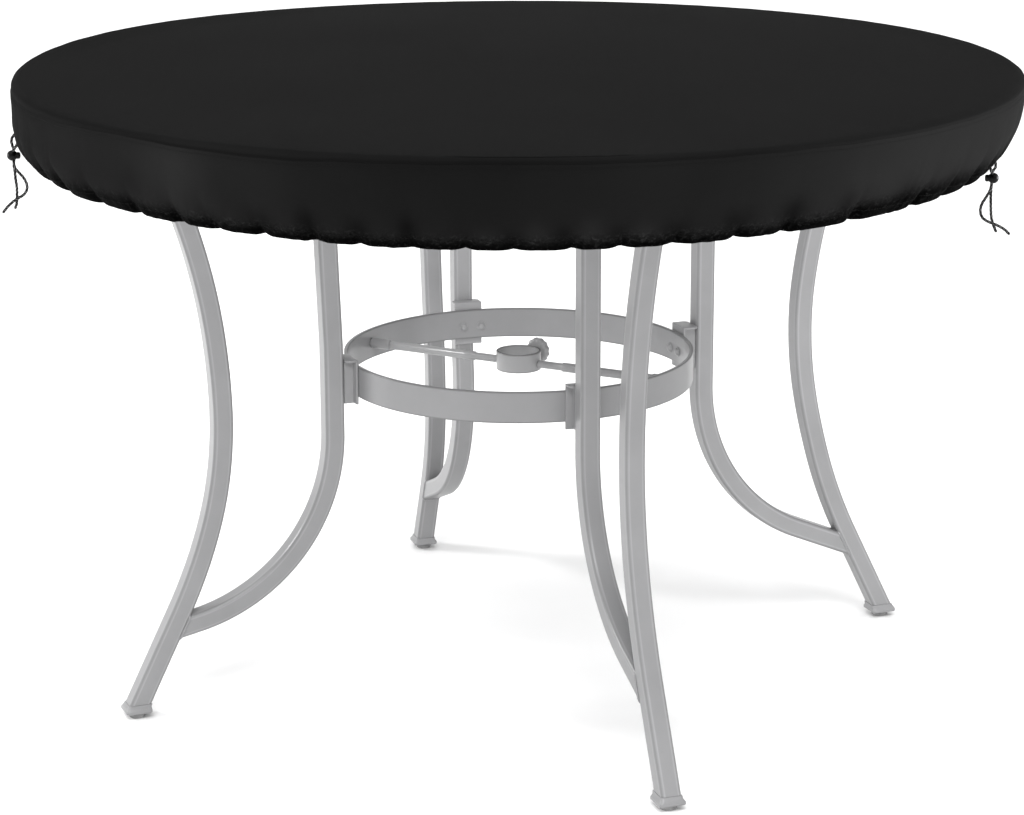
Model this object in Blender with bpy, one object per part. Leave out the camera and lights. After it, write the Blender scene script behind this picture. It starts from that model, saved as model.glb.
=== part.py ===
# Round patio table cover, fitted over a plain round steel table.
#
# The cover is a taut round top panel with a skirt sewn to its rim. The skirt hangs over the table's
# edge, turns in under it and is gathered at the hem. A drawcord comes out at two sides, each pair of
# cord ends running through a cord lock. The table is a flat disc on four wishbone legs tied by a hoop,
# with a cross rod that carries the umbrella ring.
#
# Metres, +Z up, origin on the floor under the table's middle, cross rod along X.
# Bearings are degrees from +X towards +Y.

import math

import bmesh
import bpy
from mathutils import Matrix, Vector

MM = 0.001
GAP = 0.3 * MM  # between two pieces that touch

# ---- cover ----
COVER_R = 600 * MM  # rim radius, outside of the cloth
COVER_TOP = 756 * MM  # upper face of the top panel
CLOTH = 1.5 * MM
SEAM_DROP = 5 * MM  # rim seam below the upper face
FRONT = -60.0  # bearing where the skirt hangs lowest
HEM_LOW = 101 * MM  # hem below the upper face, at FRONT
HEM_HIGH = 94 * MM  # and at the back
SLACK_SIDE = 217.0  # bearing where the skirt hangs fuller; it is drawn in harder on the other side
SLACK = 5.5 * MM
TUCK_PINCH = 4.0 * MM  # how far a tuck of the gathered hem draws in
TUCK_RISE = 2.8 * MM  # and how far it lifts the lower edge
COLUMNS_PER_PUFF = 3
# The rim stands a little proud of the table in two places. Columns: bearing, lift (mm), width (degrees).
RIM_LIFTS = (
    (180.0, 4.2, 34.0),
    (48.0, 1.6, 26.0),
)
LIFT_FROM = 545 * MM  # the top panel starts to rise here
LIFT_FADE = 75.0  # drop where the skirt hangs true again (mm)

# Skirt section from the rim seam to the turned-under hem, at FRONT.
# Columns: drop below the upper face (mm), inset from the rim (mm), share of the tuck, share of the slack.
SKIRT_SECTION = (
    (5.4, -0.5, 0.00, 0.0),
    (30.0, 0.8, 0.05, 0.1),
    (48.0, 2.6, 0.20, 0.4),
    (62.0, 6.2, 0.45, 0.8),
    (76.0, 12.2, 0.70, 1.0),
    (89.5, 19.5, 0.90, 1.0),
    (100.5, 30.0, 1.00, 1.0),
    (100.0, 39.0, 0.60, 1.0),
)

# Tucks of the gathered hem on the side that shows. Columns: bearing, depth as a share of a full tuck.
TUCKS_SHOWN = (
    (-142.8, 1.9), (-134.0, 0.8), (-128.0, 0.9), (-122.0, 1.1), (-114.4, 0.8), (-107.3, 0.9),
    (-100.6, 1.0), (-95.4, 0.7), (-89.9, 1.1), (-83.7, 0.8), (-78.8, 0.8), (-73.2, 0.6),
    (-67.7, 0.9), (-62.6, 0.6), (-56.6, 0.8), (-51.5, 1.0), (-45.8, 0.9), (-38.7, 1.2),
    (-33.0, 0.9), (-23.6, 1.3), (-13.5, 1.1), (-7.0, 0.8), (-0.8, 0.9), (4.8, 0.7), (10.3, 1.9),
)
TUCKS_BEHIND = 32  # the rest of the way round

# ---- drawcords and their locks ----
VIEW_TURN = 28.0  # the cords hang in planes square to this direction, counted from -Y towards +X
CORD_D = 2.8 * MM
CORD_POINTS = 30
LOCK_R = 6.3 * MM
LOCK_SHIFT = -1.6 * MM  # the ball's middle from the cords, away from the button
SLOT_PLAY = 0.7 * MM
BUTTON_R = 3.4 * MM
BUTTON_OUT = 4.2 * MM  # how far the button stands out of the ball
BUTTON_SEAT = 1.4 * MM  # depth of its recess
# Where the cords cross the middle of each lock: bearing, radius and height. The button points to side.
LOCKS = {
    "left": {"bearing": -142.84, "radius": 600.2 * MM, "height": 668.1 * MM, "side": 1},
    "right": {"bearing": 10.32, "radius": 571.4 * MM, "height": 652.9 * MM, "side": -1},
}
# Cord routes by hand from that point. Columns: across, towards the viewer, up (mm).
ROUTES = {
    "left_a": (
        (6.2, -2.4, 26.6), (2.4, -1.8, 24.6), (-0.4, -1.8, 21.9), (-2.1, -1.8, 17.0), (-1.4, -1.8, 12.2),
        (-0.1, -1.7, 7.9), (0.0, -1.6, 5.0), (0.0, -1.6, -5.5), (-0.5, -1.6, -12.8), (0.2, -1.7, -17.6),
        (0.8, -1.8, -28.6), (1.8, -1.9, -38.3), (1.5, -2.0, -49.2), (0.7, -2.0, -58.0),
        (-1.7, -2.0, -64.3),
    ),
    "left_b": (
        (6.7, 1.6, 24.9), (6.9, 1.8, 21.4), (6.1, 1.8, 16.6), (4.4, 1.8, 12.6), (1.8, 1.7, 8.6),
        (0.1, 1.6, 5.0), (0.0, 1.6, -4.5), (1.0, 1.6, -13.6), (5.4, 1.8, -19.9), (10.9, 2.0, -26.3),
        (14.3, 2.2, -33.9), (14.0, 2.3, -40.8), (10.1, 2.4, -46.4), (4.2, 2.4, -50.2),
        (-1.6, 2.3, -53.9), (-8.3, 2.2, -59.7), (-12.5, 2.0, -64.6), (-15.6, 1.9, -68.5),
    ),
    "right_a": (
        (0.6, -4.6, 22.2), (3.4, -2.2, 17.8), (4.2, -1.8, 13.8), (2.8, -1.8, 10.2), (0.6, -1.7, 7.2),
        (0.0, -1.6, 4.6), (0.0, -1.6, -5.2), (-0.1, -1.6, -11.5), (-0.2, -1.6, -21.0), (0.3, -1.7, -33.2),
        (1.2, -1.8, -45.4), (3.2, -1.9, -52.7), (5.4, -2.0, -58.7), (8.0, -2.0, -64.2),
    ),
    "right_b": (
        (-5.7, 3.5, 18.6), (-3.2, 2.6, 15.6), (-2.5, 2.2, 12.2), (-1.6, 1.9, 8.8), (-0.4, 1.7, 6.2),
        (0.0, 1.6, 3.6), (0.0, 1.6, -5.0), (-2.0, 1.6, -14.4), (-6.6, 1.7, -22.8), (-10.8, 1.9, -30.2),
        (-12.2, 2.1, -38.1), (-9.8, 2.3, -45.4), (-4.0, 2.4, -50.0), (3.3, 2.4, -53.0),
        (10.0, 2.3, -56.0), (16.7, 2.2, -60.1), (22.8, 2.0, -66.1),
    ),
}

# ---- table top ----
TOP_R = 592.5 * MM
TOP_THICK = 18 * MM
TOP_ROUND = 5 * MM  # rounding of its edge
TOP_FACE = COVER_TOP - CLOTH - GAP  # upper face, just under the cloth
PLATE_THICK = 4 * MM
PLATE_FACE = TOP_FACE - TOP_THICK - GAP - PLATE_THICK  # underside of the leg plates
PLATE_FROM, PLATE_TO, PLATE_WIDTH = 214 * MM, 502 * MM, 42 * MM
PLATE_CORNER = 8 * MM

# ---- legs ----
BAR_ACROSS = 24.6 * MM  # width of a bar square to its leg's plane
BAR_DEEP = 24.4 * MM  # width of a bar in that plane
BAR_CORNER = 3 * MM
BAR_TOP = PLATE_FACE - GAP
OUTER_WAIST_R = 381.5 * MM  # where the outer bar is nearest the middle
WAIST_Z = 375 * MM
OUTER_BEND_UP = 690 * MM  # radius of its bend above the waist
OUTER_BEND_DOWN = 505 * MM  # and below
OUTER_SLOPE = 0.5  # outward run of the straight foot for each metre of fall
OUTER_STATIONS = 22
INNER_BEND_R = 220 * MM
INNER_STATIONS = 12
SPREAD_FROM, SPREAD_TO = 460 * MM, 230 * MM  # heights between which an outer bar's own spread grows
SWING_FROM, SWING_TO = 430 * MM, 100 * MM  # and between which a leg swings from one side to the other
# The legs are not quite alike: sideways swing (degrees), spread of the outer bar's foot, distance out of
# the inner bar, its outward lean at the top, height where it starts to bend outwards (mm), its turn (degrees).
LEGS = {
    "right": {"bearing": 49.2, "swing": 0.0, "spread": 10.0,
              "inner": 246.5, "lean": 0.0, "bend": 339.5, "turn": 67.0},
    "back": {"bearing": 134.6, "swing": 1.05, "spread": 0.0,
             "inner": 244.5, "lean": 0.0, "bend": 328.0, "turn": 69.0},
    "left": {"bearing": 229.6, "swing": 0.0, "spread": -4.0,
             "inner": 241.4, "lean": 11.0, "bend": 327.5, "turn": 78.0},
    "front": {"bearing": 317.15, "swing": 0.0, "spread": 0.0,
              "inner": 241.2, "lean": 0.0, "bend": 345.0, "turn": 69.0},
}
GLIDE_R, GLIDE_H = 10 * MM, 7 * MM
CAP_HALF = 16 * MM  # half the side of a foot cap's flange
CAP_FLANGE = 3.6 * MM
CAP_TOP = 17.5 * MM
BAR_FOOT = CAP_TOP + GAP

# ---- hoop, cross rod and umbrella ring ----
HOOP_R = 211.5 * MM  # middle of the band
HOOP_THICK = 5 * MM
HOOP_LOW, HOOP_HIGH = 372.5 * MM, 410 * MM
HOOP_SIDES = 72
BRACKET_HALF = 18 * MM
BRACKET_WALL = 3 * MM
BRACKET_LOW, BRACKET_HIGH = 364 * MM, 419 * MM
BRACKET_WING = 9 * MM  # outside of the two wings, from the middle
BOLT_SIDE = 11.7 * MM
BOLT_Z = 388 * MM
BOLT_R, BOLT_H = 5.4 * MM, 3.4 * MM
ROD_R = 4.9 * MM
ROD_Z = 392.5 * MM
FERRULE_R, FERRULE_LENGTH = 6.5 * MM, 27 * MM
RING_OUTER, RING_INNER = 27.5 * MM, 24.5 * MM
RING_LOW, RING_HIGH = 384 * MM, 407 * MM
KNOB_BEARING = 78.0
KNOB_Z = 399.5 * MM
KNOB_R = 13.5 * MM
SCREW_R = 3 * MM


# ---- helpers ----

def clear_scene():
    for old in list(bpy.data.objects):
        bpy.data.objects.remove(old, do_unlink=True)


def make_material(name, colour, roughness):
    material = bpy.data.materials.new(name)
    material.use_nodes = True
    shader = material.node_tree.nodes["Principled BSDF"]
    shader.inputs["Base Color"].default_value = (*colour, 1.0)
    shader.inputs["Roughness"].default_value = roughness
    return material


def polar(bearing, radius, height=0.0):
    turn = math.radians(bearing)
    return Vector((radius * math.cos(turn), radius * math.sin(turn), height))


def turned(bearing):
    """The matrix that turns an object about the table's axis."""
    return Matrix.Rotation(math.radians(bearing), 4, "Z")


def ease(value):
    """Smooth step from 0 to 1."""
    value = min(max(value, 0.0), 1.0)
    return value * value * (3 - 2 * value)


def add_object(name, mesh, material, sharp=35.0):
    """Put a mesh in the scene under its node name, shaded smooth up to the sharp angle."""
    mesh.name = name
    mesh.materials.append(material)
    mesh.shade_smooth()
    mesh.set_sharp_from_angle(angle=math.radians(sharp))
    obj = bpy.data.objects.new(name, mesh)
    bpy.context.collection.objects.link(obj)
    return obj


def loft(rings, closed=False):
    """Mesh through rings of equally many points: capped at both ends, or closed round on itself."""
    mesh = bpy.data.meshes.new("loft")
    bm = bmesh.new()
    rows = [[bm.verts.new(point) for point in ring] for ring in rings]
    pairs = list(zip(rows, rows[1:]))
    if closed:
        pairs.append((rows[-1], rows[0]))
    for near, far in pairs:
        for i in range(len(near)):
            j = (i + 1) % len(near)
            bm.faces.new((near[i], near[j], far[j], far[i]))
    if not closed:
        bm.faces.new(reversed(rows[0]))
        bm.faces.new(rows[-1])
    bmesh.ops.recalc_face_normals(bm, faces=bm.faces)
    bm.to_mesh(mesh)
    bm.free()
    return mesh


def lathe(section, sides):
    """Round body about Z from (radius, height) points; a radius of zero is a pole on the axis."""
    mesh = bpy.data.meshes.new("lathe")
    bm = bmesh.new()
    rows = []
    for radius, height in section:
        if radius == 0:
            rows.append([bm.verts.new((0, 0, height))])
        else:
            rows.append([bm.verts.new(polar(360 * k / sides, radius, height)) for k in range(sides)])
    pairs = list(zip(rows, rows[1:]))
    if len(rows[0]) > 1:
        pairs.append((rows[-1], rows[0]))
    for near, far in pairs:
        for k in range(sides):
            m = (k + 1) % sides
            corners = (near[k % len(near)], near[m % len(near)], far[m % len(far)], far[k % len(far)])
            bm.faces.new(list(dict.fromkeys(corners)))
    bmesh.ops.recalc_face_normals(bm, faces=bm.faces)
    bm.to_mesh(mesh)
    bm.free()
    return mesh


def prism(outline, low, high):
    """Upright body on a flat outline of (x, y) points."""
    return loft([[Vector((x, y, z)) for x, y in outline] for z in (low, high)])


def clipped_box(x_low, x_high, y_half, corner):
    """Outline of a rectangle along X with its corners cut off."""
    return [
        (x_high, y_half - corner), (x_high - corner, y_half), (x_low + corner, y_half),
        (x_low, y_half - corner), (x_low, corner - y_half), (x_low + corner, -y_half),
        (x_high - corner, -y_half), (x_high, corner - y_half),
    ]


def combined(mesh, others, operation):
    """A mesh joined with others (UNION) or cut by them (DIFFERENCE)."""
    body = bpy.data.objects.new("body", mesh)
    bpy.context.collection.objects.link(body)
    tools = []
    for other in others:
        tool = bpy.data.objects.new("cutter", other)
        tool.hide_render = True
        tool.display_type = "WIRE"
        bpy.context.collection.objects.link(tool)
        step = body.modifiers.new("step", "BOOLEAN")
        step.operation = operation
        step.solver = "EXACT"
        step.object = tool
        tools.append(tool)
    result = bpy.data.meshes.new_from_object(body.evaluated_get(bpy.context.evaluated_depsgraph_get()))
    for used in (body, *tools):
        bpy.data.objects.remove(used)
    return result


# ---- the cover ----

def rim_lift(bearing):
    """How far the rim stands proud at a bearing."""
    total = 0.0
    for middle, lift, width in RIM_LIFTS:
        away = (bearing - middle + 180) % 360 - 180
        total += lift * MM * math.exp(-(away / width) ** 2)
    return total


def hem_share(bearing):
    """Hem drop at a bearing, as a share of its lowest."""
    near_front = (1 + math.cos(math.radians(bearing - FRONT))) / 2
    return (HEM_HIGH + (HEM_LOW - HEM_HIGH) * near_front ** 7) / HEM_LOW


def all_tucks():
    """Every tuck round the hem as (bearing, depth): those that show, then uneven ones behind."""
    start, end = TUCKS_SHOWN[-1][0], TUCKS_SHOWN[0][0] + 360
    steps = [1 + 0.22 * math.sin(2.4 * k) + 0.12 * math.sin(5.1 * k + 1) for k in range(TUCKS_BEHIND + 1)]
    scale = (end - start) / sum(steps)
    tucks = list(TUCKS_SHOWN)
    bearing = start
    for k in range(TUCKS_BEHIND):
        bearing += steps[k] * scale
        tucks.append((bearing, 0.9 + 0.25 * math.sin(3.7 * k + 0.5)))
    return tucks


def skirt_columns():
    """Bearings of the skirt's columns, each with the depth of its tuck (none between two tucks)."""
    tucks = all_tucks()
    columns = []
    for k, (bearing, depth) in enumerate(tucks):
        following = tucks[(k + 1) % len(tucks)][0]
        width = (following - bearing) % 360
        columns.append((bearing, depth))
        for step in range(1, COLUMNS_PER_PUFF):
            columns.append((bearing + width * step / COLUMNS_PER_PUFF, 0.0))
    return columns


def skirt_ring(bearing, tuck):
    """The skirt's closed section at one bearing: down its outside, then back up its inside."""
    stretch = hem_share(bearing)
    slack = SLACK * math.cos(math.radians(bearing - SLACK_SIDE))
    outside = []
    for drop, inset, gather, loose in SKIRT_SECTION:
        pull = 1 + (stretch - 1) * ease(drop / 100)
        radius = COVER_R - inset * MM + slack * loose - TUCK_PINCH * gather * tuck
        height = COVER_TOP - drop * MM * pull + TUCK_RISE * gather ** 2 * tuck
        outside.append(Vector((radius, height + rim_lift(bearing) * ease((LIFT_FADE - drop) / LIFT_FADE))))
    inside = []
    for k, point in enumerate(outside):
        along = outside[min(k + 1, len(outside) - 1)] - outside[max(k - 1, 0)]
        inside.append(point + Vector((along.y, -along.x)).normalized() * CLOTH)
    return [polar(bearing, radius, height) for radius, height in outside + inside[::-1]]


def add_cover(fabric):
    """The round top panel, turned down over the rim, and the gathered skirt under it."""
    flat = COVER_R - 9 * MM
    outside = [(0, 0), (LIFT_FROM, 0), (flat, 0), (COVER_R - 4.6 * MM, -0.8 * MM),
               (COVER_R - 1.4 * MM, -2.6 * MM), (COVER_R, -SEAM_DROP)]
    inside = [(COVER_R - CLOTH, -SEAM_DROP), (COVER_R - 2.8 * MM, -3.6 * MM),
              (COVER_R - 5.4 * MM, -2.2 * MM), (flat, -CLOTH), (LIFT_FROM, -CLOTH), (0, -CLOTH)]
    panel = lathe([(radius, COVER_TOP + height) for radius, height in outside + inside], 96)
    for corner in panel.vertices:
        out = math.hypot(corner.co.x, corner.co.y)
        bearing = math.degrees(math.atan2(corner.co.y, corner.co.x))
        corner.co.z += rim_lift(bearing) * ease((out - LIFT_FROM) / (COVER_R - LIFT_FROM))
    add_object("cover_top", panel, fabric)
    rings = [skirt_ring(bearing, tuck) for bearing, tuck in skirt_columns()]
    add_object("cover_skirt", loft(rings, closed=True), fabric, sharp=60.0)


# ---- drawcords ----

def facing(across, towards, up):
    """A vector from its parts across, towards and up, as a viewer at VIEW_TURN sees them."""
    turn = math.radians(VIEW_TURN)
    right = Vector((math.cos(turn), math.sin(turn), 0))
    near = Vector((math.sin(turn), -math.cos(turn), 0))
    return right * across + near * towards + Vector((0, 0, up))


def smooth_curve(points, count):
    """Evenly spaced points on the Catmull-Rom curve through the given ones."""
    ends = [points[0] * 2 - points[1], *points, points[-1] * 2 - points[-2]]
    fine = []
    for k in range(len(points) - 1):
        a, b, c, d = ends[k:k + 4]
        for step in range(12):
            t = step / 12
            bend = (a * 2 - b * 5 + c * 4 - d) * t ** 2 + (b * 3 - a - c * 3 + d) * t ** 3
            fine.append((b * 2 + (c - a) * t + bend) / 2)
    fine.append(points[-1])
    reach = [0.0]
    for near, far in zip(fine, fine[1:]):
        reach.append(reach[-1] + (far - near).length)
    spaced = []
    k = 0
    for step in range(count):
        goal = reach[-1] * step / (count - 1)
        while k < len(fine) - 2 and reach[k + 1] < goal:
            k += 1
        spaced.append(fine[k].lerp(fine[k + 1], (goal - reach[k]) / (reach[k + 1] - reach[k])))
    return spaced


def add_cord(name, route, centre, material):
    """One end of a drawcord as a tube from the skirt through its lock to the bare tip."""
    points = smooth_curve([centre + facing(*point) * MM for point in route], CORD_POINTS)
    curve = bpy.data.curves.new(name, "CURVE")
    curve.dimensions = "3D"
    curve.bevel_depth = CORD_D / 2
    curve.bevel_resolution = 2
    curve.use_fill_caps = True
    spline = curve.splines.new("POLY")
    spline.points.add(len(points) - 1)
    for knot, point in zip(spline.points, points):
        knot.co = (*point, 1)
    curve.materials.append(material)
    obj = bpy.data.objects.new(name, curve)
    bpy.context.collection.objects.link(obj)


def add_lock(side, place, material):
    """A ball-shaped cord lock with a slot down through it, and the push button in its side."""
    centre = polar(place["bearing"], place["radius"], place["height"])
    pose = Matrix.Translation(centre) @ turned(VIEW_TURN + 90 - 90 * place["side"])
    along_x = Matrix.Rotation(math.radians(90), 4, "Y")

    dome = [(LOCK_R * math.sin(math.radians(turn)), LOCK_R * math.cos(math.radians(turn)))
            for turn in range(18, 180, 18)]
    ball = lathe([(0, LOCK_R), *dome, (0, -LOCK_R)], 16)
    ball.transform(Matrix.Translation((LOCK_SHIFT, 0, 0)))

    slot_r = CORD_D / 2 + SLOT_PLAY
    slot_run = 1.6 * MM
    slot = []
    for k in range(12):
        turn = math.radians(15 + 30 * k)
        run = slot_run if turn < math.pi else -slot_run
        slot.append((slot_r * math.cos(turn), slot_r * math.sin(turn) + run))
    tunnel = prism(slot, -2 * LOCK_R, 2 * LOCK_R)
    seat = LOCK_R + LOCK_SHIFT - BUTTON_SEAT
    wide = BUTTON_R + GAP
    recess = lathe([(0, seat), (wide, seat), (wide, LOCK_R * 2), (0, LOCK_R * 2)], 16)
    recess.transform(along_x)
    body = combined(ball, [tunnel, recess], "DIFFERENCE")
    body.transform(pose)
    add_object(f"cord_lock_{side}", body, material, sharp=50.0)

    base, end = seat + GAP, LOCK_R + LOCK_SHIFT + BUTTON_OUT
    button = lathe([(0, base), (BUTTON_R, base), (BUTTON_R, end - 1.6 * MM), (BUTTON_R - 1.3 * MM, end),
                    (0, end)], 16)
    button.transform(pose @ along_x)
    add_object(f"lock_button_{side}", button, material)


def add_drawcords(cord, plastic):
    """Both locks, and the two cord ends that run through each of them."""
    for side, place in LOCKS.items():
        add_lock(side, place, plastic)
        centre = polar(place["bearing"], place["radius"], place["height"])
        for leg in "ab":
            add_cord(f"drawcord_{side}_{leg}", ROUTES[f"{side}_{leg}"], centre, cord)


# ---- the table top ----

def add_table_top(steel):
    """The round top: a flat disc with a rounded edge."""
    low, high = TOP_FACE - TOP_THICK, TOP_FACE
    quarter = [math.radians(turn) for turn in (90, 60, 30, 0)]
    curve = [(TOP_R - TOP_ROUND * (1 - math.cos(turn)), TOP_ROUND * (1 - math.sin(turn))) for turn in quarter]
    section = [(0, high)]
    section += [(radius, high - depth) for radius, depth in curve]
    section += [(radius, low + depth) for radius, depth in reversed(curve)]
    section += [(0, low)]
    add_object("table_top", lathe(section, 72), steel)


def add_leg_plate(side, leg, steel):
    """The flat plate under the top that both bars of a leg are welded to."""
    outline = clipped_box(PLATE_FROM, PLATE_TO, PLATE_WIDTH / 2, PLATE_CORNER)
    plate = prism(outline, PLATE_FACE, PLATE_FACE + PLATE_THICK)
    plate.transform(turned(leg_bearing(leg, BAR_TOP)))
    add_object(f"leg_plate_{side}", plate, steel)


# ---- the legs ----

def outer_radius(leg, z):
    """Distance of an outer bar's middle line from the table's axis at a height."""
    waist = OUTER_WAIST_R + leg["spread"] * MM * ease((SPREAD_FROM - z) / (SPREAD_FROM - SPREAD_TO))
    if z > WAIST_Z:
        return waist + (z - WAIST_Z) ** 2 / (2 * OUTER_BEND_UP)
    bend = OUTER_SLOPE * OUTER_BEND_DOWN
    fall = WAIST_Z - z
    if fall < bend:
        return waist + fall ** 2 / (2 * OUTER_BEND_DOWN)
    return waist + bend ** 2 / (2 * OUTER_BEND_DOWN) + OUTER_SLOPE * (fall - bend)


def outer_slope(leg, z):
    """Outward run of an outer bar for each metre of rise at a height."""
    return (outer_radius(leg, z + MM) - outer_radius(leg, z - MM)) / (2 * MM)


def leg_bearing(leg, height):
    """A leg's bearing at a height: its swing turns it one way at the foot and the other at the top."""
    return leg["bearing"] + leg["swing"] * (2 * ease((height - SWING_TO) / (SWING_FROM - SWING_TO)) - 1)


def on_leg(leg, radius, height, across=0.0):
    """A point of a leg from its distance out, height and offset across."""
    turn = math.radians(leg_bearing(leg, height))
    return Vector((radius * math.cos(turn) - across * math.sin(turn),
                   radius * math.sin(turn) + across * math.cos(turn), height))


def bar_section():
    """Section of a bar as (across, deep) pairs: a rectangle with cut corners."""
    return clipped_box(-BAR_ACROSS / 2, BAR_ACROSS / 2, BAR_DEEP / 2, BAR_CORNER)


def add_outer_bar(side, leg, steel):
    """The long bar from the top plate down to the foot, cut level at both ends."""
    rings = []
    for k in range(OUTER_STATIONS + 1):
        z = BAR_TOP + (BAR_FOOT - BAR_TOP) * k / OUTER_STATIONS
        middle = outer_radius(leg, z)
        slope = outer_slope(leg, z)
        square = 1 / math.sqrt(1 + slope ** 2)
        ring = []
        for across, deep in bar_section():
            if k in (0, OUTER_STATIONS):
                ring.append(on_leg(leg, middle + deep / square, z, across))
            else:
                ring.append(on_leg(leg, middle + deep * square, z - deep * slope * square, across))
        rings.append(ring)
    add_object(f"outer_bar_{side}", loft(rings), steel)


def run_to_outer_bar(leg, radius, height, turn):
    """Where a line going outwards and down meets the near face of the outer bar, less the gap."""
    for _ in range(40):
        reach = (BAR_DEEP / 2 + GAP * 1.3) * math.sqrt(1 + outer_slope(leg, height) ** 2)
        step = (outer_radius(leg, height) - reach - radius) * 0.5
        radius += step
        height -= step / math.tan(turn)
    return radius, height


def add_inner_bar(side, leg, steel):
    """The short bar by the hoop: down with its lean, then bent outwards to lie against the outer bar."""
    inner, bend = leg["inner"] * MM, leg["bend"] * MM
    line = [(inner + leg["lean"] * MM, BAR_TOP, 0.0), (inner, SWING_FROM, 0.0),
            (inner, (SWING_FROM + bend) / 2, 0.0)]
    for k in range(INNER_STATIONS + 1):
        turn = math.radians(leg["turn"] * k / INNER_STATIONS)
        out = inner + INNER_BEND_R * (1 - math.cos(turn))
        line.append((out, bend - INNER_BEND_R * math.sin(turn), turn))
    rings = []
    for radius, height, turn in line:
        ring = [(radius + deep * math.cos(turn), height + deep * math.sin(turn), across)
                for across, deep in bar_section()]
        rings.append([on_leg(leg, out, up, across) for out, up, across in ring])
    cut_end = [(*run_to_outer_bar(leg, out, up, line[-1][2]), across) for out, up, across in ring]
    rings.append([on_leg(leg, out, up, across) for out, up, across in cut_end])
    add_object(f"inner_bar_{side}", loft(rings), steel)


def add_foot(side, leg, steel, rubber):
    """The flared cap on the end of the outer bar and the round glide under it."""
    middle = on_leg(leg, outer_radius(leg, BAR_FOOT), BAR_FOOT)
    pose = Matrix.Translation((middle.x, middle.y, 0)) @ turned(leg_bearing(leg, BAR_FOOT))
    low = GLIDE_H + GAP
    edge = 0.8 * MM
    neck_x, neck_y = BAR_DEEP / 2 * math.sqrt(1 + OUTER_SLOPE ** 2) + 0.7 * MM, BAR_ACROSS / 2 + 0.7 * MM
    shift = OUTER_SLOPE * (CAP_TOP - low) / 2
    levels = (
        (low, CAP_HALF - edge, CAP_HALF - edge, shift),
        (low + edge, CAP_HALF, CAP_HALF, shift),
        (low + CAP_FLANGE, CAP_HALF, CAP_HALF, shift),
        (low + CAP_FLANGE + 3 * MM, neck_x + 0.6 * MM, neck_y + 0.6 * MM, shift * 0.7),
        (CAP_TOP, neck_x, neck_y, 0.0),
    )
    rings = []
    for z, half_x, half_y, out in levels:
        outline = clipped_box(-half_x, half_x, half_y, 2.2 * MM)
        rings.append([Vector((x + out, y, z)) for x, y in outline])
    cap = loft(rings)
    cap.transform(pose)
    add_object(f"foot_cap_{side}", cap, steel)

    chamfer = 1.5 * MM
    glide = lathe([(0, 0), (GLIDE_R - chamfer, 0), (GLIDE_R, chamfer), (GLIDE_R, GLIDE_H), (0, GLIDE_H)], 20)
    glide.transform(pose @ Matrix.Translation((shift, 0, 0)))
    add_object(f"foot_glide_{side}", glide, rubber)


# ---- hoop, brackets, cross rod and umbrella ring ----

def hoop_flat(radius):
    """Distance of the middle of one of the hoop's facets from the axis."""
    return radius * math.cos(math.pi / HOOP_SIDES)


def add_hoop(steel):
    """The flat band that ties the four inner bars."""
    inner, outer, edge = HOOP_R - HOOP_THICK / 2, HOOP_R + HOOP_THICK / 2, 0.8 * MM
    section = [
        (outer, HOOP_LOW + edge), (outer, HOOP_HIGH - edge), (outer - edge, HOOP_HIGH),
        (inner + edge, HOOP_HIGH), (inner, HOOP_HIGH - edge), (inner, HOOP_LOW + edge),
        (inner + edge, HOOP_LOW), (outer - edge, HOOP_LOW),
    ]
    add_object("hoop", lathe(section, HOOP_SIDES), steel)


def add_bracket(side, leg, steel):
    """A folded bracket between the hoop and an inner bar: back plate, two wings and a top flange."""
    near = HOOP_R + HOOP_THICK / 2 + GAP
    far = leg["inner"] * MM - BAR_DEEP / 2 - GAP
    half, wall, wing, corner = BRACKET_HALF, BRACKET_WALL, BRACKET_WING, 4 * MM
    sag = near - math.sqrt(near ** 2 - half ** 2)
    channel = [
        (near - sag, half), (near, half / 2), (near, -half / 2), (near - sag, -half),
        (near - sag + wall, -half), (near + wall, -wing), (far, -wing), (far, wall - wing),
        (near + wall, wall - wing), (near + wall, wing - wall), (far, wing - wall), (far, wing),
        (near + wall, wing), (near - sag + wall, half),
    ]
    flange = [
        (near - sag, half), (near, half / 2), (near, -half / 2), (near - sag, -half), (far - corner, -half),
        (far, corner - half), (far, half - corner), (far - corner, half),
    ]
    body = combined(prism(channel, BRACKET_LOW, BRACKET_HIGH - wall / 2),
                    [prism(flange, BRACKET_HIGH - wall, BRACKET_HIGH)], "UNION")
    body.transform(turned(leg_bearing(leg, BOLT_Z)))
    add_object(f"bracket_{side}", body, steel)


def add_bolts(side, leg, steel):
    """The two round bolt heads inside the hoop at each bracket."""
    face = HOOP_R - HOOP_THICK / 2
    head = [(0, 0), (BOLT_R, 0), (BOLT_R, BOLT_H * 0.45), (BOLT_R * 0.72, BOLT_H * 0.88), (0, BOLT_H)]
    pose = Matrix.Translation((hoop_flat(face) - GAP, 0, BOLT_Z)) @ Matrix.Rotation(math.radians(-90), 4, "Y")
    for k, offset in enumerate((-BOLT_SIDE, BOLT_SIDE)):
        bolt = lathe(head, 12)
        bolt.transform(turned(leg_bearing(leg, BOLT_Z) + math.degrees(offset / face)) @ pose)
        add_object(f"bracket_bolt_{side}_{k + 1}", bolt, steel)


def round_bar(radius, start, end, chamfer):
    """A round bar lying along X from start to end, with cut edges."""
    bar = lathe([(0, start), (radius - chamfer, start), (radius, start + chamfer), (radius, end - chamfer),
                 (radius - chamfer, end), (0, end)], 16)
    bar.transform(Matrix.Rotation(math.radians(90), 4, "Y"))
    return bar


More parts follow.
